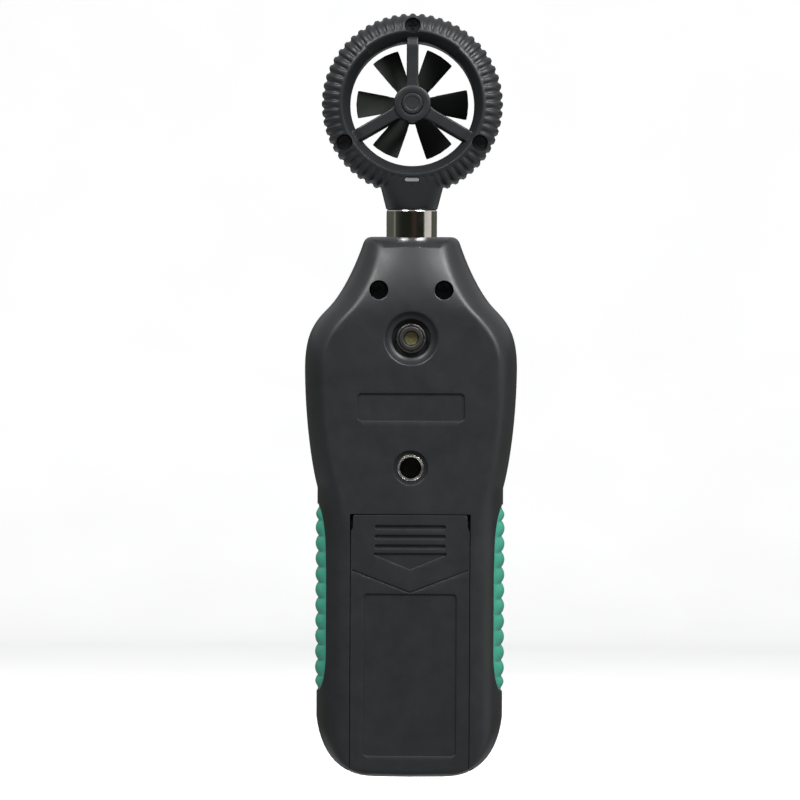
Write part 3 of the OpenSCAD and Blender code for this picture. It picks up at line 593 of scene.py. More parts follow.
def key_piece(node):
    """A rubber key with a pillowed top and a soft edge."""
    cx, cz = middle(node).x, middle(node).z
    top = low(node).y
    levels = [(0.95, -12.4), (1.0, -12.6), (1.0, -13.7), (0.9, -13.8), (0, -13.85), (0, top + 0.75)]
    levels += [(-0.75 * (1 - math.cos(a)), top + 0.75 - 0.62 * math.sin(a))
               for a in (math.radians(15 * i) for i in range(1, 7))]
    levels += [(-1.5, top + 0.07), (-2.4, top + 0.02), (-3.2, top)]
    return tower(node + "_cap", round_rect(12.6, 7.4, 3.25, cx, cz, 10), levels)


# ------------------------------------------------------------------ head
FLUTES = 60
FLUTE_STEPS = 12
FLUTE_DEPTH = 0.54
CREST, BAND_CREST = 17.75, 18.1     # radius of the ring's inner lip, and in the band over its top
BAND_HALF = 40                      # the band's half width in degrees


def on_ring(r, clock):
    """x and z at radius r from the head's axis, at clock degrees from its top."""
    a = math.radians(90 - clock)
    return r * math.cos(a), head_z + r * math.sin(a)


def ring_section(crest):
    """Half section of the ring on the back, from the duct round to the parting plane: (radius, y).

    Returns its inner wall, its fluted outside, its hollow, and the radius where the flutes end.
    """
    wall = [(duct_r, 0.0), (duct_r, 3.0), (duct_r, 6.0), (duct_r + 0.08, 6.35)]
    cone = [(duct_r + 0.3 + (crest - 0.75 - duct_r) * t, 6.75 + (half_head - 7.35) * t)
            for t in (0, 0.33, 0.66, 1)]
    lip = [(crest - 0.2, half_head - 0.35), (crest + 0.05, half_head - 0.3), (crest + 0.3, half_head - 0.38)]
    over = [bez(((crest + 0.5, half_head - 0.5), (20.4, half_head - 0.75), (22.3, half_head - 2.4),
                 (head_r, half_head - 5.2)), t / 12) for t in range(13)]
    rim = [(head_r, 3.4), (head_r, 1.8), (head_r, 0.35), (head_r - 0.1, 0.12), (head_r - 0.22, 0.0)]
    channel = [(20.2, 0.0), (20.2, 6.4), (17.0, 6.4), (17.0, 0.0)]
    return wall + cone + lip, over + rim, channel, crest + 0.55


def flute_cut(around, along):
    """Depth of a flute. around is 0 on its middle and 1 on the crests; along starts at its inner end."""
    if along <= 0:
        return 0.0
    width = math.sqrt(1 - (1 - min(along, 1)) ** 2)
    q = around / width
    return FLUTE_DEPTH * width * (1 - ease((q - 0.16) / 0.58))


def ring_half(name, side):
    """The fluted ring on one side of the parting plane, hollow between its walls."""
    count = FLUTES * FLUTE_STEPS
    *plain, plain_end = ring_section(CREST)
    *band, band_end = ring_section(BAND_CREST)
    rings = []
    for i in range(count):
        clock = math.degrees(math.tau * i / count)
        off_top = min(clock, 360 - clock)
        mix = 1 - ease((off_top - BAND_HALF + 0.6) / 1.2)
        around = abs((i % FLUTE_STEPS) / FLUTE_STEPS * 2 - 1)
        end = plain_end + (band_end - plain_end) * mix
        ring = []
        for part, (plain_points, band_points) in enumerate(zip(plain, band)):
            for p, b in zip(plain_points, band_points):
                r, y = p[0] + (b[0] - p[0]) * mix, p[1] + (b[1] - p[1]) * mix
                if part == 1:
                    along = (r - end) / 0.75 + (6 if y < half_head - 1.6 else 0)
                    cut = flute_cut(around, along)
                    lean = min(max((half_head - y) / 4.2, 0.12), 1)
                    r -= cut * lean
                    y -= cut * (1 - lean) * 0.8
                x, z = on_ring(r, clock)
                ring.append(put(x, y * side, z))
        rings.append(ring)
    return loft(name, rings, closed=True)


def neck_section(t):
    """Closed section of the neck in X and Y: a circle at t=0 that becomes a rounded rectangle at t=1."""
    points = []
    for i in range(72):
        a = math.tau * i / 72
        c, s = math.cos(a), math.sin(a)
        power = 2 + 3.2 * t
        scale = (abs(c) ** power + abs(s) ** power) ** (-1 / power)
        points.append(((6.45 + 1.85 * t) * c * scale, (6.5 + 2.4 * t) * s * scale))
    return points


def neck_block(name):
    """The block between the ring and the tube, from its chamfered lower edge up into the ring."""
    levels = [(0, 141.5, -0.25), (0, 141.75, 0)]
    levels += [(i / 10, 141.75 + 0.725 * i, 0) for i in range(1, 11)]
    levels.append((1, 151, 0))
    rings = []
    for t, z, grow in levels:
        k = 1 + grow / 6.5
        rings.append([put(x * k, y * k, z) for x, y in neck_section(t)])
    return loft(name, rings)


def radial(a):
    """Unit vectors in X and Z: outwards at angle a, and across that."""
    return Vector((math.cos(a), math.sin(a))), Vector((-math.sin(a), math.cos(a)))


def spoke(name, clock, side):
    """A rounded bar from the hub to the ring, flared where it meets them."""
    out, across = radial(math.radians(90 - clock))
    rings = []
    for i in range(25):
        r = 3.6 + (16.6 - 3.6) * i / 24
        half = 1.47 + 0.35 * math.exp(-max(r - 4.5, 0) / 0.35)
        sunk = 0.3 * ease((r - 14.6) / 1.6)
        ring = []
        for w, y in round_rect(2 * half, 2.8 - 2 * sunk, 0.42, 0, 7.0 - sunk, 5):
            x, z = out * r + across * w
            ring.append(put(x, y * side, head_z + z))
        rings.append(ring)
    return loft(name, rings)


def hub(name, side):
    """The hub that holds a bearing, with a recess for its cap."""
    r = 4.6
    profile = [(0, 4.6), (r - 0.4, 4.6), (r, 5.0), (r, 8.45), (r - 0.13, 8.75), (r - 0.45, 8.9),
               (2.85, 8.9), (2.66, 8.8), (2.66, 8.3), (0, 8.3)]
    return lathe(name, [(a, b * side) for a, b in profile], 0, head_z)


def head_half(name, side):
    """One half of the head: ring, neck, hub and spokes, with the holes for what it holds."""
    def reach(near, far):
        return (near, far) if side > 0 else (-far, -near)

    half = ring_half(name, side)
    neck = combine(neck_block("neck"), [block("half", (-12, 12), reach(0, 12), (140, 152))], "INTERSECT")
    neck = combine(neck, [rod("inside", 0, head_z, 16.6, -12, 12)])
    spokes = [spoke("spoke", clock, side) for clock in screw_clocks]
    bosses = [rod("boss", *on_ring(19.4, clock), 2.4, *reach(0, 6.6)) for clock in screw_clocks]
    half = combine(half, [neck, hub("hub", side)] + spokes + bosses, "UNION")
    cuts = [lathe_z("bore", [(0, 140), (5.35, 140), (5.35, 146.7), (4.4, 146.7), (4.4, 149.4), (0, 149.4)])]
    slot_z = middle("temperature_sensor").z
    cuts.append(tower("slot", round_rect(3.7, 1.05, 0.5, 0, slot_z), [
        (0, 0), (0, 8.2 * side), (0.12, 9.0 * side), (0.3, 9.4 * side), (0.9, 12 * side)]))
    if side > 0:
        cuts += [tower("well", circle(1.96, *on_ring(19.5, clock)), [
            (0, 4), (0, 8.9), (0.06, 9.15), (0.2, 9.35), (0.2, 12)]) for clock in screw_clocks]
    cuts.append(rod("bearing", 0, head_z, 1.5, *reach(4, 6.6)))
    cuts.append(rod("shaft", 0, head_z, 0.8, *reach(6, 8.4)))
    half = combine(half, cuts)
    half.name = name
    return half


def cap_piece():
    """The two caps over the bearings, each with a sunk middle and fine turned rings."""
    caps = []
    for side in (-1, 1):
        y = [8.35, 9.14, 9.25, 9.3, 9.3, 9.26, 9.18, 9.18, 9.14]
        r = [2.58, 2.58, 2.5, 2.36, 1.78, 1.68, 1.6, 0.9, 0.3]
        profile = [(0, 8.35)] + list(zip(r, y)) + [(0, 9.13)]
        caps.append(lathe("cap", [(a, b * side) for a, b in profile], 0, head_z))
    return join("hub_cap_pair", caps)


# ------------------------------------------------------------------ impeller
BLADES = 6
PITCH = math.radians(45)
tip_r = 14.0


def blade(index):
    """One blade: a thin bar with rounded edges, wider and thinner towards its tip."""
    out, across = radial(math.tau * index / BLADES)
    rings = []
    steps = 22
    for i in range(steps + 1):
        r = 2.8 + (tip_r - 2.8) * i / steps
        near_tip = max(0.0, (r - tip_r + 1.0) / 1.0)
        chord = (0.89 + 0.196 * r) / math.cos(PITCH) - 0.12 * near_tip ** 3
        thick = 0.34 - 0.012 * r
        ring = []
        for k in range(28):
            b = math.tau * k / 28
            c, s = math.cos(b), math.sin(b)
            u = chord * math.copysign(abs(c) ** 0.3, c)
            v = thick * math.copysign(abs(s) ** 0.75, s)
            y = -u * math.sin(PITCH) + v * math.cos(PITCH)
            w = u * math.cos(PITCH) + v * math.sin(PITCH)
            reach = math.sqrt(max(r * r - w * w, 0)) if r > 6 else r
            x, z = out * reach + across * w
            ring.append(put(x, y, head_z + z))
        rings.append(ring)
    return loft("blade", rings)


def impeller_piece():
    """The blades on a hub that is grooved round its ends."""
    body = lathe("impeller_hub", [
        (0.5, -3.3), (2.9, -3.35), (2.9, -1.9), (3.0, -1.9), (3.0, -3.4), (3.6, -3.4), (3.9, -3.1),
        (3.9, 3.0), (3.8, 3.25), (3.55, 3.4), (2.8, 3.4), (2.7, 3.3), (2.5, 3.3), (2.4, 3.4), (0.5, 3.4)],
        0, head_z)
    return combine(body, [blade(i) for i in range(BLADES)], "UNION")


# ------------------------------------------------------------------ neck tube and metal fittings
def tube_piece():
    """Polished tube with a bright bevel at its top and a reduced end inside the head."""
    r, top = high("neck_tube").x, 141.45
    return lathe_z("neck_tube_polished", [
        (4.2, 126.4), (r - 0.2, 126.4), (r, 126.6), (r, 127.1), (5.8, 127.15), (5.8, 128.05), (r, 128.1),
        (r, top - 0.5), (r - 0.04, top - 0.35), (r - 0.2, top - 0.08), (r - 0.3, top), (5.3, top),
        (5.3, 146.4), (5.1, 146.6), (4.2, 146.6)], 160)


def insert_piece():
    """Threaded insert: a countersunk mouth, turned rings in its bore and a flange behind the wall."""
    bore = []
    y, pitch = insert_face - 0.5, 1.27
    crest, root = 2.67, 3.0
    while y > 7.2:
        bore += [(crest, y), (root, y - pitch * 0.45), (crest, y - pitch * 0.9)]
        y -= pitch
    profile = [(0, 6), (4.6, 6), (4.6, 12.95), (3.3, 12.95), (3.3, insert_face - 0.08), (3.22, insert_face),
               (3.16, insert_face)] + bore + [(2.65, 6.9), (0, 6.9)]
    return lathe("tripod_insert_threaded", profile, 0, tripod_z)


def nut_piece():
    """Round nut with two wrench slots and a softened face."""
    nut = lathe("jack_nut_round", [
        (3.0, 12.25), (3.7, 12.25), (3.7, 13.55), (3.6, 13.72), (3.42, 13.8), (3.14, 13.8), (3.0, 13.7)],
        0, jack_z)
    cuts = [block("slot", (-4, 4), (13.45, 14.5), (jack_z - 0.45, jack_z + 0.45)),
            block("slot", (-0.45, 0.45), (13.45, 14.5), (jack_z - 4, jack_z + 4))]
    return combine(nut, cuts)


def barrel_piece():
    """Plain bushing of the port, with a rounded mouth."""
    r, end = high("jack_barrel").x, low("jack_barrel").y
    return lathe("port_bushing", [
        (port_r, end), (r, end), (r, jack_face - 0.14), (r - 0.05, jack_face - 0.04), (r - 0.16, jack_face),
        (port_r + 0.3, jack_face), (port_r + 0.12, jack_face - 0.05), (port_r, jack_face - 0.2)], 0, jack_z)


def contact_piece():
    """Centre contact of the port: a flat head with a turned rim on a stem."""
    r, end, face = high("jack_contact").x, low("jack_contact").y, high("jack_contact").y
    return lathe("port_contact", [
        (0, end), (0.8, end), (0.8, face - 0.5), (r, face - 0.5), (r, face - 0.08), (r - 0.08, face),
        (r - 0.3, face), (r - 0.36, face - 0.06), (0.3, face - 0.06), (0, face - 0.1)], 0, jack_z)


def lens_piece():
    """The window, with a softened outer edge."""
    outline = round_rect(lens_w, lens_h, 2.25, 0, lens_z)
    y = low("display_lens").y
    return tower("display_window", outline, [(0, y + 1.35), (0, y + 0.25), (-0.1, y + 0.08), (-0.28, y)])


# ------------------------------------------------------------------ materials
class Tree:
    """Short names for building the node tree of a material or of the world."""

    def __init__(self, owner):
        owner.use_nodes = True
        self.tree = owner.node_tree

    def add(self, kind, **settings):
        node = self.tree.nodes.new(kind)
        for key, value in settings.items():
            setattr(node, key, value)
        return node

    def link(self, source, target):
        if isinstance(source, (int, float, tuple)):
            target.default_value = source
        else:
            self.tree.links.new(source, target)

    def maths(self, operation, a, b=0.0):
        node = self.add("ShaderNodeMath", operation=operation)
        self.link(a, node.inputs[0])
        self.link(b, node.inputs[1])
        return node.outputs[0]

    def plus(self, a, b):
        return self.maths("ADD", a, b)

    def times(self, a, b):
        return self.maths("MULTIPLY", a, b)

    def vector(self, operation, a, b):
        node = self.add("ShaderNodeVectorMath", operation=operation)
        self.link(a, node.inputs[0])
        self.link(b, node.inputs[1])
        return node.outputs[0]

    def axes(self, vector):
        """The X, Y and Z of a vector, by name."""
        node = self.add("ShaderNodeSeparateXYZ")
        self.link(vector, node.inputs[0])
        return node.outputs

    def span(self, value, low_in, high_in, low_out, high_out, kind="LINEAR"):
        node = self.add("ShaderNodeMapRange", interpolation_type=kind)
        self.link(value, node.inputs["Value"])
        limits = {"From Min": low_in, "From Max": high_in, "To Min": low_out, "To Max": high_out}
        for key, v in limits.items():
            node.inputs[key].default_value = v
        return node.outputs["Result"]

    def mix(self, value, a, b):
        node = self.add("ShaderNodeMix", data_type="RGBA")
        self.link(value, node.inputs[0])
        self.link(a, node.inputs[6])
        self.link(b, node.inputs[7])
        return node.outputs[2]


class Nodes(Tree):
    """A material's node tree."""

    def __init__(self, name):
        self.material = bpy.data.materials.new(name)
        super().__init__(self.material)
        self.shader = self.tree.nodes["Principled BSDF"]
        self.place = self.add("ShaderNodeTexCoord").outputs["Object"]

    def stretch(self, x, y, z):
        """Object coordinates scaled by different amounts along each axis."""
        return self.vector("MULTIPLY", self.place, (x, y, z))

    def noise(self, size, detail, roughness=0.55, vector=None):
        """Noise whose features are about size millimetres across."""
        node = self.add("ShaderNodeTexNoise")
        self.link(vector or self.place, node.inputs["Vector"])
        node.inputs["Scale"].default_value = 1 / (size * MM)
        node.inputs["Detail"].default_value = detail
        node.inputs["Roughness"].default_value = roughness
        return node.outputs["Fac"]

    def cells(self, size, feature="F1"):
        node = self.add("ShaderNodeTexVoronoi", feature=feature)
        self.link(self.place, node.inputs["Vector"])
        node.inputs["Scale"].default_value = 1 / (size * MM)
        return node.outputs["Distance"]

    def vary(self, noise, low_out, high_out):
        """A noise's usual values spread over a range."""
        return self.span(noise, 0.3, 0.7, low_out, high_out)

    def bump(self, height, depth, normal=None):
        """Bump whose height is depth millimetres at 1."""
        node = self.add("ShaderNodeBump")
        node.inputs["Distance"].default_value = depth * MM
        self.link(height, node.inputs["Height"])
        if normal:
            self.link(normal, node.inputs["Normal"])
        return node.outputs["Normal"]

    def softened(self, radius):
        """Normals rounded over sharp edges, radius in millimetres."""
        node = self.add("ShaderNodeBevel", samples=4)
        node.inputs["Radius"].default_value = radius * MM
        return node.outputs["Normal"]

    def edges(self, radius):
        """1 on edges and near 0 on flat surfaces."""
        geometry = self.add("ShaderNodeNewGeometry").outputs["Normal"]
        dot = self.add("ShaderNodeVectorMath", operation="DOT_PRODUCT")
        self.link(self.softened(radius), dot.inputs[0])
        self.link(geometry, dot.inputs[1])
        return self.span(dot.outputs["Value"], 0.995, 0.86, 0.0, 1.0)

    def radius(self, x, z):
        """Distance from an axis along Y through body coordinates x and z, in millimetres."""
        shifted = self.vector("SUBTRACT", self.place, put(x, 0, z))
        length = self.add("ShaderNodeVectorMath", operation="LENGTH")
        self.link(self.vector("MULTIPLY", shifted, (1 / MM, 0, 1 / MM)), length.inputs[0])
        return length.outputs["Value"]

    def finish(self, colour, rough, normal=None, metallic=0.0, **sockets):
        self.link(colour, self.shader.inputs["Base Color"])
        self.link(rough, self.shader.inputs["Roughness"])
        self.shader.inputs["Metallic"].default_value = metallic
        if normal:
            self.link(normal, self.shader.inputs["Normal"])
        for key, value in sockets.items():
            socket = key.replace("_", " ").title().replace("Ior", "IOR")
            self.shader.inputs[socket].default_value = value
        return self.material


def shade(colour, k):
    return tuple(c * k for c in colour[:3]) + (1.0,)


def moulded(name, colour, rough, grain=0.22, depth=0.006, wear_and_sheen=0.35, soft=0.12, **sockets):
    """Injection-moulded plastic: faint flow marks, spark texture, and lighter, glossier edges that are
    partly handling wear and partly painted highlight.
    """
    n = Nodes(name)
    flow = n.noise(14, 4)
    smudge = n.noise(5, 5, 0.65)
    texture = n.noise(grain, 2, 0.6)
    speck = n.cells(grain * 1.6)
    edge = n.times(n.edges(0.3), n.span(n.noise(1.4, 3), 0.35, 0.65, 0.3, 1.0))
    base = n.mix(n.vary(flow, 0, 1), shade(colour, 0.9), shade(colour, 1.1))
    # Lighter edges: partly handling wear, partly a painted highlight along the edges.
    base = n.mix(n.times(edge, wear_and_sheen), base, shade(colour, 2.1))
    level = n.plus(n.vary(smudge, rough - 0.06, rough + 0.05), n.vary(texture, -0.02, 0.03))
    level = n.maths("SUBTRACT", level, n.times(edge, 0.1))
    height = n.plus(texture, n.times(speck, 0.5))
    return n.finish(base, level, n.bump(height, depth, n.softened(soft)), **sockets)


def rubber(name, colour, rough, depth=0.006, **sockets):
    """Soft moulded rubber with a faint bloom in its hollows and fine pores."""
    n = Nodes(name)
    bloom = n.noise(9, 4)
    dust = n.noise(0.9, 4, 0.7)
    pores = n.noise(0.13, 2, 0.6)
    grain = n.noise(0.5, 3, 0.6)
    base = n.mix(n.vary(bloom, 0, 1), shade(colour, 0.9), shade(colour, 1.08))
    base = n.mix(n.span(dust, 0.56, 0.78, 0, 0.22), base, shade((0.5, 0.56, 0.53), 1))
    level = n.plus(n.vary(bloom, rough - 0.05, rough + 0.05), n.vary(pores, -0.03, 0.03))
    return n.finish(base, level, n.bump(pores, depth, n.bump(grain, depth * 6, n.softened(0.1))), **sockets)


TOOL_MARKS = 0.11       # distance between the fine rings on turned metal


def turned(name, colour, rough, x, z, face):
    """Metal turned on a lathe about an axis along Y: fine rings and stains, and painted shade that darkens
    it below its face.
    """
    n = Nodes(name)
    radius = n.radius(x, z)
    ring = n.maths("ABSOLUTE", n.maths("SINE", n.times(radius, math.tau / TOOL_MARKS)))
    stain = n.noise(1.6, 4)
    base = n.mix(n.span(stain, 0.4, 0.75, 0, 1), shade(colour, 1.05), shade(colour, 0.72))
    top = put(0, face, 0)[1]
    # Painted shade: below its face the metal is mixed to near black, standing in for the shade inside the
    # hole.
    painted_recess_shade = n.span(n.axes(n.place)["Y"], top - 3.5 * MM, top - 0.6 * MM, 1, 0)
    base = n.mix(n.times(painted_recess_shade, 0.96), base, shade(colour, 0.03))
    level = n.plus(n.vary(stain, rough - 0.05, rough + 0.09), n.times(ring, 0.04))
    level = n.plus(level, n.times(painted_recess_shade, 0.3))
    return n.finish(base, level, n.bump(ring, 0.0025, n.softened(0.06)), 1.0)


def brushed(name, colour, rough):
    """Plated steel with a fine drawn grain and dull patches."""
    n = Nodes(name)
    drawn = n.noise(0.5, 3, 0.6, n.stretch(1, 12, 1))
    patch = n.noise(1.2, 4)
    base = n.mix(n.span(patch, 0.35, 0.7, 0, 1), shade(colour, 1.08), shade(colour, 0.7))
    level = n.plus(n.vary(patch, rough - 0.06, rough + 0.1), n.vary(drawn, -0.03, 0.05))
    return n.finish(base, level, n.bump(drawn, 0.002, n.softened(0.06)), 1.0)


def plated(name):
    """Polished plating: nearly a mirror, with hairlines along the tube and a breath of haze."""
    n = Nodes(name)
    hair = n.noise(0.35, 2, 0.6, n.stretch(9, 9, 0.5))
    haze = n.noise(3.5, 4)
    peel = n.noise(0.7, 2, 0.5)
    base = n.mix(n.span(haze, 0.35, 0.7, 0, 1), (0.86, 0.85, 0.83, 1), (0.78, 0.76, 0.74, 1))
    level = n.plus(n.vary(haze, 0.05, 0.1), n.span(hair, 0.55, 0.8, 0.0, 0.06))
    return n.finish(base, level, n.bump(hair, 0.0006, n.bump(peel, 0.009)), 1.0)


def glass(name):
    """Clear window with faint wipe marks."""
    n = Nodes(name)
    wipe = n.noise(6, 4, 0.6, n.stretch(1, 1, 3))
    tint = n.mix(n.vary(wipe, 0, 1), (0.93, 0.96, 0.96, 1), (0.98, 0.99, 0.99, 1))
    level = n.span(wipe, 0.35, 0.75, 0.02, 0.07)
    return n.finish(tint, level, n.bump(wipe, 0.001), transmission_weight=1.0, ior=1.49)


def display(name):
    """Reflective display: olive grey with a fine pixel grid and faint unlit bars."""
    n = Nodes(name)
    across = n.axes(n.place)

    def waves(x_pitch, z_pitch):
        pair = [n.maths("SINE", n.times(across[axis], math.tau / (pitch * MM)))
                for axis, pitch in (("X", x_pitch), ("Z", z_pitch))]
        return n.times(*pair)

    grid = waves(0.35, 0.35)
    bars = waves(7, 9)
    cloud = n.noise(11, 3)
    base = n.mix(n.vary(cloud, 0, 1), (0.33, 0.38, 0.29, 1), (0.38, 0.43, 0.33, 1))
    base = n.mix(n.span(bars, 0.55, 0.7, 0, 0.16), base, (0.12, 0.14, 0.11, 1))
    base = n.mix(n.span(grid, -1, 1, 0, 0.06), base, (0.1, 0.12, 0.1, 1))
    return n.finish(base, n.vary(cloud, 0.2, 0.3), n.bump(grid, 0.002))


def circuit(name):
    """Solder mask over branching tracks."""
    n = Nodes(name)
    tracks = n.cells(1.7, "DISTANCE_TO_EDGE")
    weave = n.noise(0.5, 2)
    base = n.mix(n.span(tracks, 0.04, 0.09, 1, 0), (0.012, 0.09, 0.035, 1), (0.05, 0.22, 0.08, 1))
    base = n.mix(n.span(weave, 0.4, 0.7, 0, 0.2), base, (0.02, 0.13, 0.05, 1))
    return n.finish(base, n.vary(weave, 0.25, 0.4), n.bump(n.span(tracks, 0.04, 0.09, 1, 0), 0.03))


def battery_can(name):
    """Printed can without any marks: a dark body with a copper-coloured upper band."""
    n = Nodes(name)
    split = put(0, 0, high("battery").z - 13)[2]
    band = n.span(n.axes(n.place)["Z"], split - 0.05 * MM, split + 0.05 * MM, 0, 1)
    scuff = n.noise(2.5, 5, 0.7)
    base = n.mix(band, (0.018, 0.019, 0.022, 1), (0.42, 0.19, 0.07, 1))
    base = n.mix(n.span(scuff, 0.6, 0.8, 0, 0.3), base, (0.4, 0.38, 0.35, 1))
    return n.finish(base, n.vary(scuff, 0.24, 0.4), n.bump(scuff, 0.01, n.softened(0.25)), 0.3)


def foam(name):
    n = Nodes(name)
    cell = n.cells(0.45)
    cloud = n.noise(3, 4)
    base = n.mix(n.vary(cloud, 0, 1), (0.025, 0.025, 0.028, 1), (0.06, 0.06, 0.065, 1))
    return n.finish(base, n.vary(cloud, 0.85, 0.97), n.bump(cell, 0.25))


SLATE = (0.0203, 0.0218, 0.0237)
HEAD = (0.0165, 0.0179, 0.0199)
GREEN = (0.056, 0.38, 0.262)
finishes = {
    "case_plastic": moulded("case_moulding", SLATE, 0.38),
    "grip_rubber": rubber("grip_moulding", GREEN, 0.5, specular_ior_level=0.35),
    "head_plastic": moulded("head_moulding", HEAD, 0.4),
    "impeller_plastic": moulded(
        "impeller_moulding", (0.026, 0.029, 0.026), 0.8, 0.3, 0.001, 0.1, 0.06, specular_ior_level=0.15),
    "key_rubber": rubber("key_moulding", (0.11, 0.115, 0.125), 0.5),
    "key_green": rubber("key_green_moulding", GREEN, 0.45),
    "plated_tube": plated("tube_plating"),
    "bright_metal": turned("turned_metal", (0.74, 0.72, 0.68), 0.2, 0, tripod_z, insert_face),
    "jack_metal": turned("jack_turned_metal", (0.13, 0.127, 0.12), 0.34, 0, jack_z, jack_face),
    "dark_steel": brushed("blackened_steel", (0.1, 0.1, 0.105), 0.42),
    "brass": turned("turned_brass", (0.27, 0.245, 0.125), 0.45, 0, jack_z, contact_face),
    "lens": glass("window"),
    "lcd": display("display_surface"),
    "black_plastic": moulded("black_moulding", (0.012, 0.012, 0.013), 0.45, 0.3, 0.004, 0.2, 0.08),
    "circuit_board": circuit("solder_mask"),
    "silicone": rubber("silicone_mat", (0.3, 0.31, 0.32), 0.45, subsurface_weight=0.15),
    "conductive_rubber": rubber("layered_strip", (0.5, 0.46, 0.38), 0.55),
    "battery_case": battery_can("battery_can"),
    "red_wire": rubber("red_insulation", (0.42, 0.02, 0.015), 0.38, 0.003),
    "grey_wire": rubber("grey_insulation", (0.06, 0.065, 0.07), 0.4, 0.003),
    "foam": foam("open_cell_foam"),
    "magnet": brushed("ground_magnet", (0.3, 0.3, 0.31), 0.4),
    "sensor_grey": moulded("sensor_moulding", (0.2, 0.205, 0.215), 0.45, 0.3, 0.004, 0.1, 0.08),
}
slots = {s["node"]: s["material_slot"] for s in frame["record"]["subparts"]}
for node, obj in frame["nodes"].items():
    obj.data.materials.clear()
    obj.data.materials.append(finishes[slots[node]])


def dress(obj, body, node, angle=32):
    """Shades a piece, gives it its node's material, attaches it to the body it rides on, and hides the CAD
    node it stands for.
    """
    smooth(obj, angle)
    obj.data.materials.clear()
    obj.data.materials.append(finishes[slots[node]])
    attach(obj, body)
    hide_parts(node)


# ------------------------------------------------------------------ all the pieces
dress(rear, "meter_body", "rear_cover")
dress(front, "meter_body", "front_cover")
dress(door, "battery_door", "battery_door")
for grip_name, grip_node, side in (("grip_plus_x", "grip_right", 1), ("grip_minus_x", "grip_left", -1)):
    grip = grip_patch(grip_name, side, GRIP_PROUD, GRIP_DEEP, GRIP_RIB, -0.008, -0.1, 0.35)
    dress(grip, "meter_body", grip_node, angle=50)
dress(lens_piece(), "meter_body", "display_lens")
for k in keys:
    dress(key_piece(k), k, k, angle=40)
dress(insert_piece(), "meter_body", "tripod_insert")
dress(nut_piece(), "meter_body", "jack_nut")
dress(barrel_piece(), "meter_body", "jack_barrel")
dress(contact_piece(), "meter_body", "jack_contact")
dress(head_half("head_back_half", 1), "vane_head", "head_rear")
dress(head_half("head_front_half", -1), "vane_head", "head_front")
dress(cap_piece(), "vane_head", "hub_caps")
dress(tube_piece(), "vane_head", "neck_tube")
dress(impeller_piece(), "impeller", "impeller", angle=40)


# ------------------------------------------------------------------ floor, light and camera
DOOR_ROOM = door_travel + 1.5 * MM      # room below the foot, so that the door slides off above the floor
SWEEP_HALF, SWEEP_NEAR, SWEEP_FAR = 2.4, 2.6, -2.6      # the floor's extents, in metres
SWEEP_BEND, SWEEP_TOP, BEND_STEPS = 0.5, 1.9, 12
PAPER = (0.93, 0.93, 0.93, 1)           # what the camera sees beside the floor


def sweep():
    """Pale floor that curves up behind the object."""
    bend = [math.radians(90 * i / BEND_STEPS) for i in range(BEND_STEPS + 1)]
    profile = [(SWEEP_NEAR, 0.0)]
    profile += [(SWEEP_FAR - SWEEP_BEND * math.sin(a), SWEEP_BEND * (1 - math.cos(a))) for a in bend]
    profile.append((SWEEP_FAR - SWEEP_BEND, SWEEP_TOP))
    ground = foot_z - DOOR_ROOM
    verts = [(x, y, ground + z) for y, z in profile for x in (-SWEEP_HALF, SWEEP_HALF)]
    faces = [(2 * i, 2 * i + 1, 2 * i + 3, 2 * i + 2) for i in range(len(profile) - 1)]
    mesh = bpy.data.meshes.new("floor_sweep")
    mesh.from_pydata(verts, [], faces)
    obj = bpy.data.objects.new("floor_sweep", mesh)
    bpy.context.scene.collection.objects.link(obj)
    smooth(obj, 60)
    n = Nodes("floor_paper")
    fibre = n.noise(0.8, 4)
    cloud = n.noise(90, 3)
    base = n.mix(n.vary(cloud, 0, 1), (0.86, 0.86, 0.86, 1), (0.9, 0.9, 0.9, 1))
    n.shader.inputs["Emission Color"].default_value = (1, 1, 1, 1)
    obj.data.materials.append(n.finish(
        base, n.vary(fibre, 0.8, 0.95), n.bump(fibre, 0.02), emission_strength=0.39))
    obj.visible_glossy = False
    obj.visible_diffuse = False


def softbox(name, place, target, size, power):
    """A square lamp that faces its target."""
    light = bpy.data.lights.new(name, "AREA")
    light.size = size
    light.energy = power
    obj = bpy.data.objects.new(name, light)
    obj.location = place
    obj.rotation_euler = (Vector(target) - Vector(place)).to_track_quat("-Z", "Y").to_euler()
    bpy.context.scene.collection.objects.link(obj)
    return obj


OLIVE = (0.085, 0.09, 0.072)
# The surroundings near the horizon, by azimuth in degrees from the camera towards the picture's right
SURROUNDINGS = [
    (-180, OLIVE), (-92, OLIVE), (-84, (0.22, 0.22, 0.2)), (-77, (0.05, 0.05, 0.042)),
    (-56, (0.022, 0.022, 0.018)), (-40, (0.012, 0.014, 0.011)), (-6, (0.013, 0.014, 0.011)),
    (12, (0.04, 0.026, 0.021)), (30, (0.014, 0.014, 0.011)), (56, (0.018, 0.016, 0.012)),
    (64, (0.55, 0.54, 0.51)),
    (98, (0.66, 0.63, 0.59)), (105, (0.06, 0.03, 0.03)), (112, OLIVE), (180, OLIVE)]
HORIZON_BAND = 7, 17                # degrees from the horizon where those give way to the even light
AROUND = (0.35, 0.353, 0.36)        # the even light above and below
BEHIND = 1.25                       # how much brighter it is behind the object


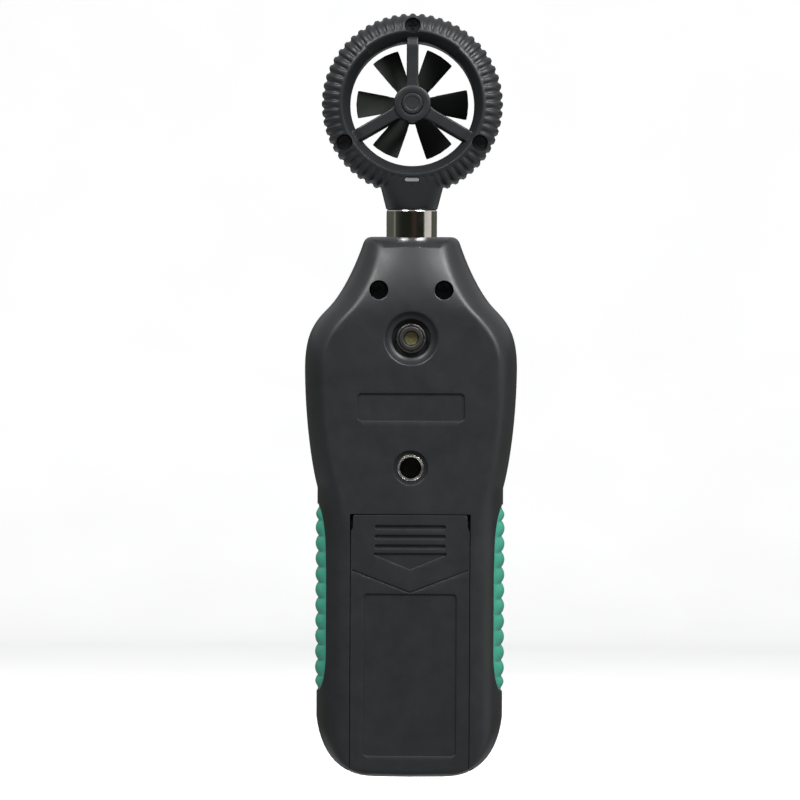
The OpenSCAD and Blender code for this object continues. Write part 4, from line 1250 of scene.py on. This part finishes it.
def studio():
    """Dim surroundings with a tall bright screen to the camera's right. The camera itself sees paper."""
    world = bpy.data.worlds.new("studio")
    bpy.context.scene.world = world
    w = Tree(world)
    toward = w.axes(w.add("ShaderNodeTexCoord").outputs["Generated"])
    azimuth = w.maths("ARCTAN2", w.times(toward["X"], -1), toward["Y"])
    ramp = w.add("ShaderNodeValToRGB")
    w.link(w.span(azimuth, -math.pi, math.pi, 0, 1), ramp.inputs["Fac"])
    stops = ramp.color_ramp.elements
    for degrees, colour in SURROUNDINGS[1:-1]:
        stops.new(degrees / 360 + 0.5).color = (*colour, 1)
    stops[0].color = (*SURROUNDINGS[0][1], 1)
    stops[-1].color = (*SURROUNDINGS[-1][1], 1)
    band = [math.sin(math.radians(elevation)) for elevation in HORIZON_BAND]
    off_horizon = w.span(w.maths("ABSOLUTE", toward["Z"]), *band, 0, 1, "SMOOTHSTEP")
    around = w.add("ShaderNodeVectorMath", operation="SCALE")
    w.link(AROUND, around.inputs[0])
    w.link(w.span(toward["Y"], 0.3, -0.8, 1.0, BEHIND), around.inputs["Scale"])
    light = w.mix(off_horizon, ramp.outputs["Color"], around.outputs[0])
    seen = w.mix(w.add("ShaderNodeLightPath").outputs["Is Camera Ray"], light, PAPER)
    w.link(seen, w.tree.nodes["Background"].inputs["Color"])
    w.link(1.0, w.tree.nodes["Background"].inputs["Strength"])


sweep()
studio()
aim = put(0, 0, 90)
softbox("key_left", put(300, 430, 620), aim, 0.26, 2.8)
softbox("key_right", put(-330, 430, 600), aim, 0.26, 3.5)
softbox("fill", put(-460, 360, 400), aim, 0.3, 1.0)
softbox("backdrop_light", put(0, -600, 900), put(0, -3000, 500), 1.6, 25)
softbox("floor_light", put(0, 300, 1500), put(0, -300, 0), 1.6, 8).visible_glossy = False
bpy.context.scene.view_settings.view_transform = "Standard"

camera = bpy.data.cameras.new("camera")
camera.lens = 300
camera.sensor_width = 36
camera.clip_start = 0.05
camera.clip_end = 20
camera_obj = bpy.data.objects.new("camera", camera)
bpy.context.scene.collection.objects.link(camera_obj)
FIELD = 0.2
distance = FIELD * camera.lens / camera.sensor_width
camera_obj.location = (0.0027, mid_y + distance, foot_z + 93.9 * MM)
camera_obj.rotation_euler = (math.radians(90), math.radians(-0.3), math.radians(180))
bpy.context.scene.camera = camera_obj
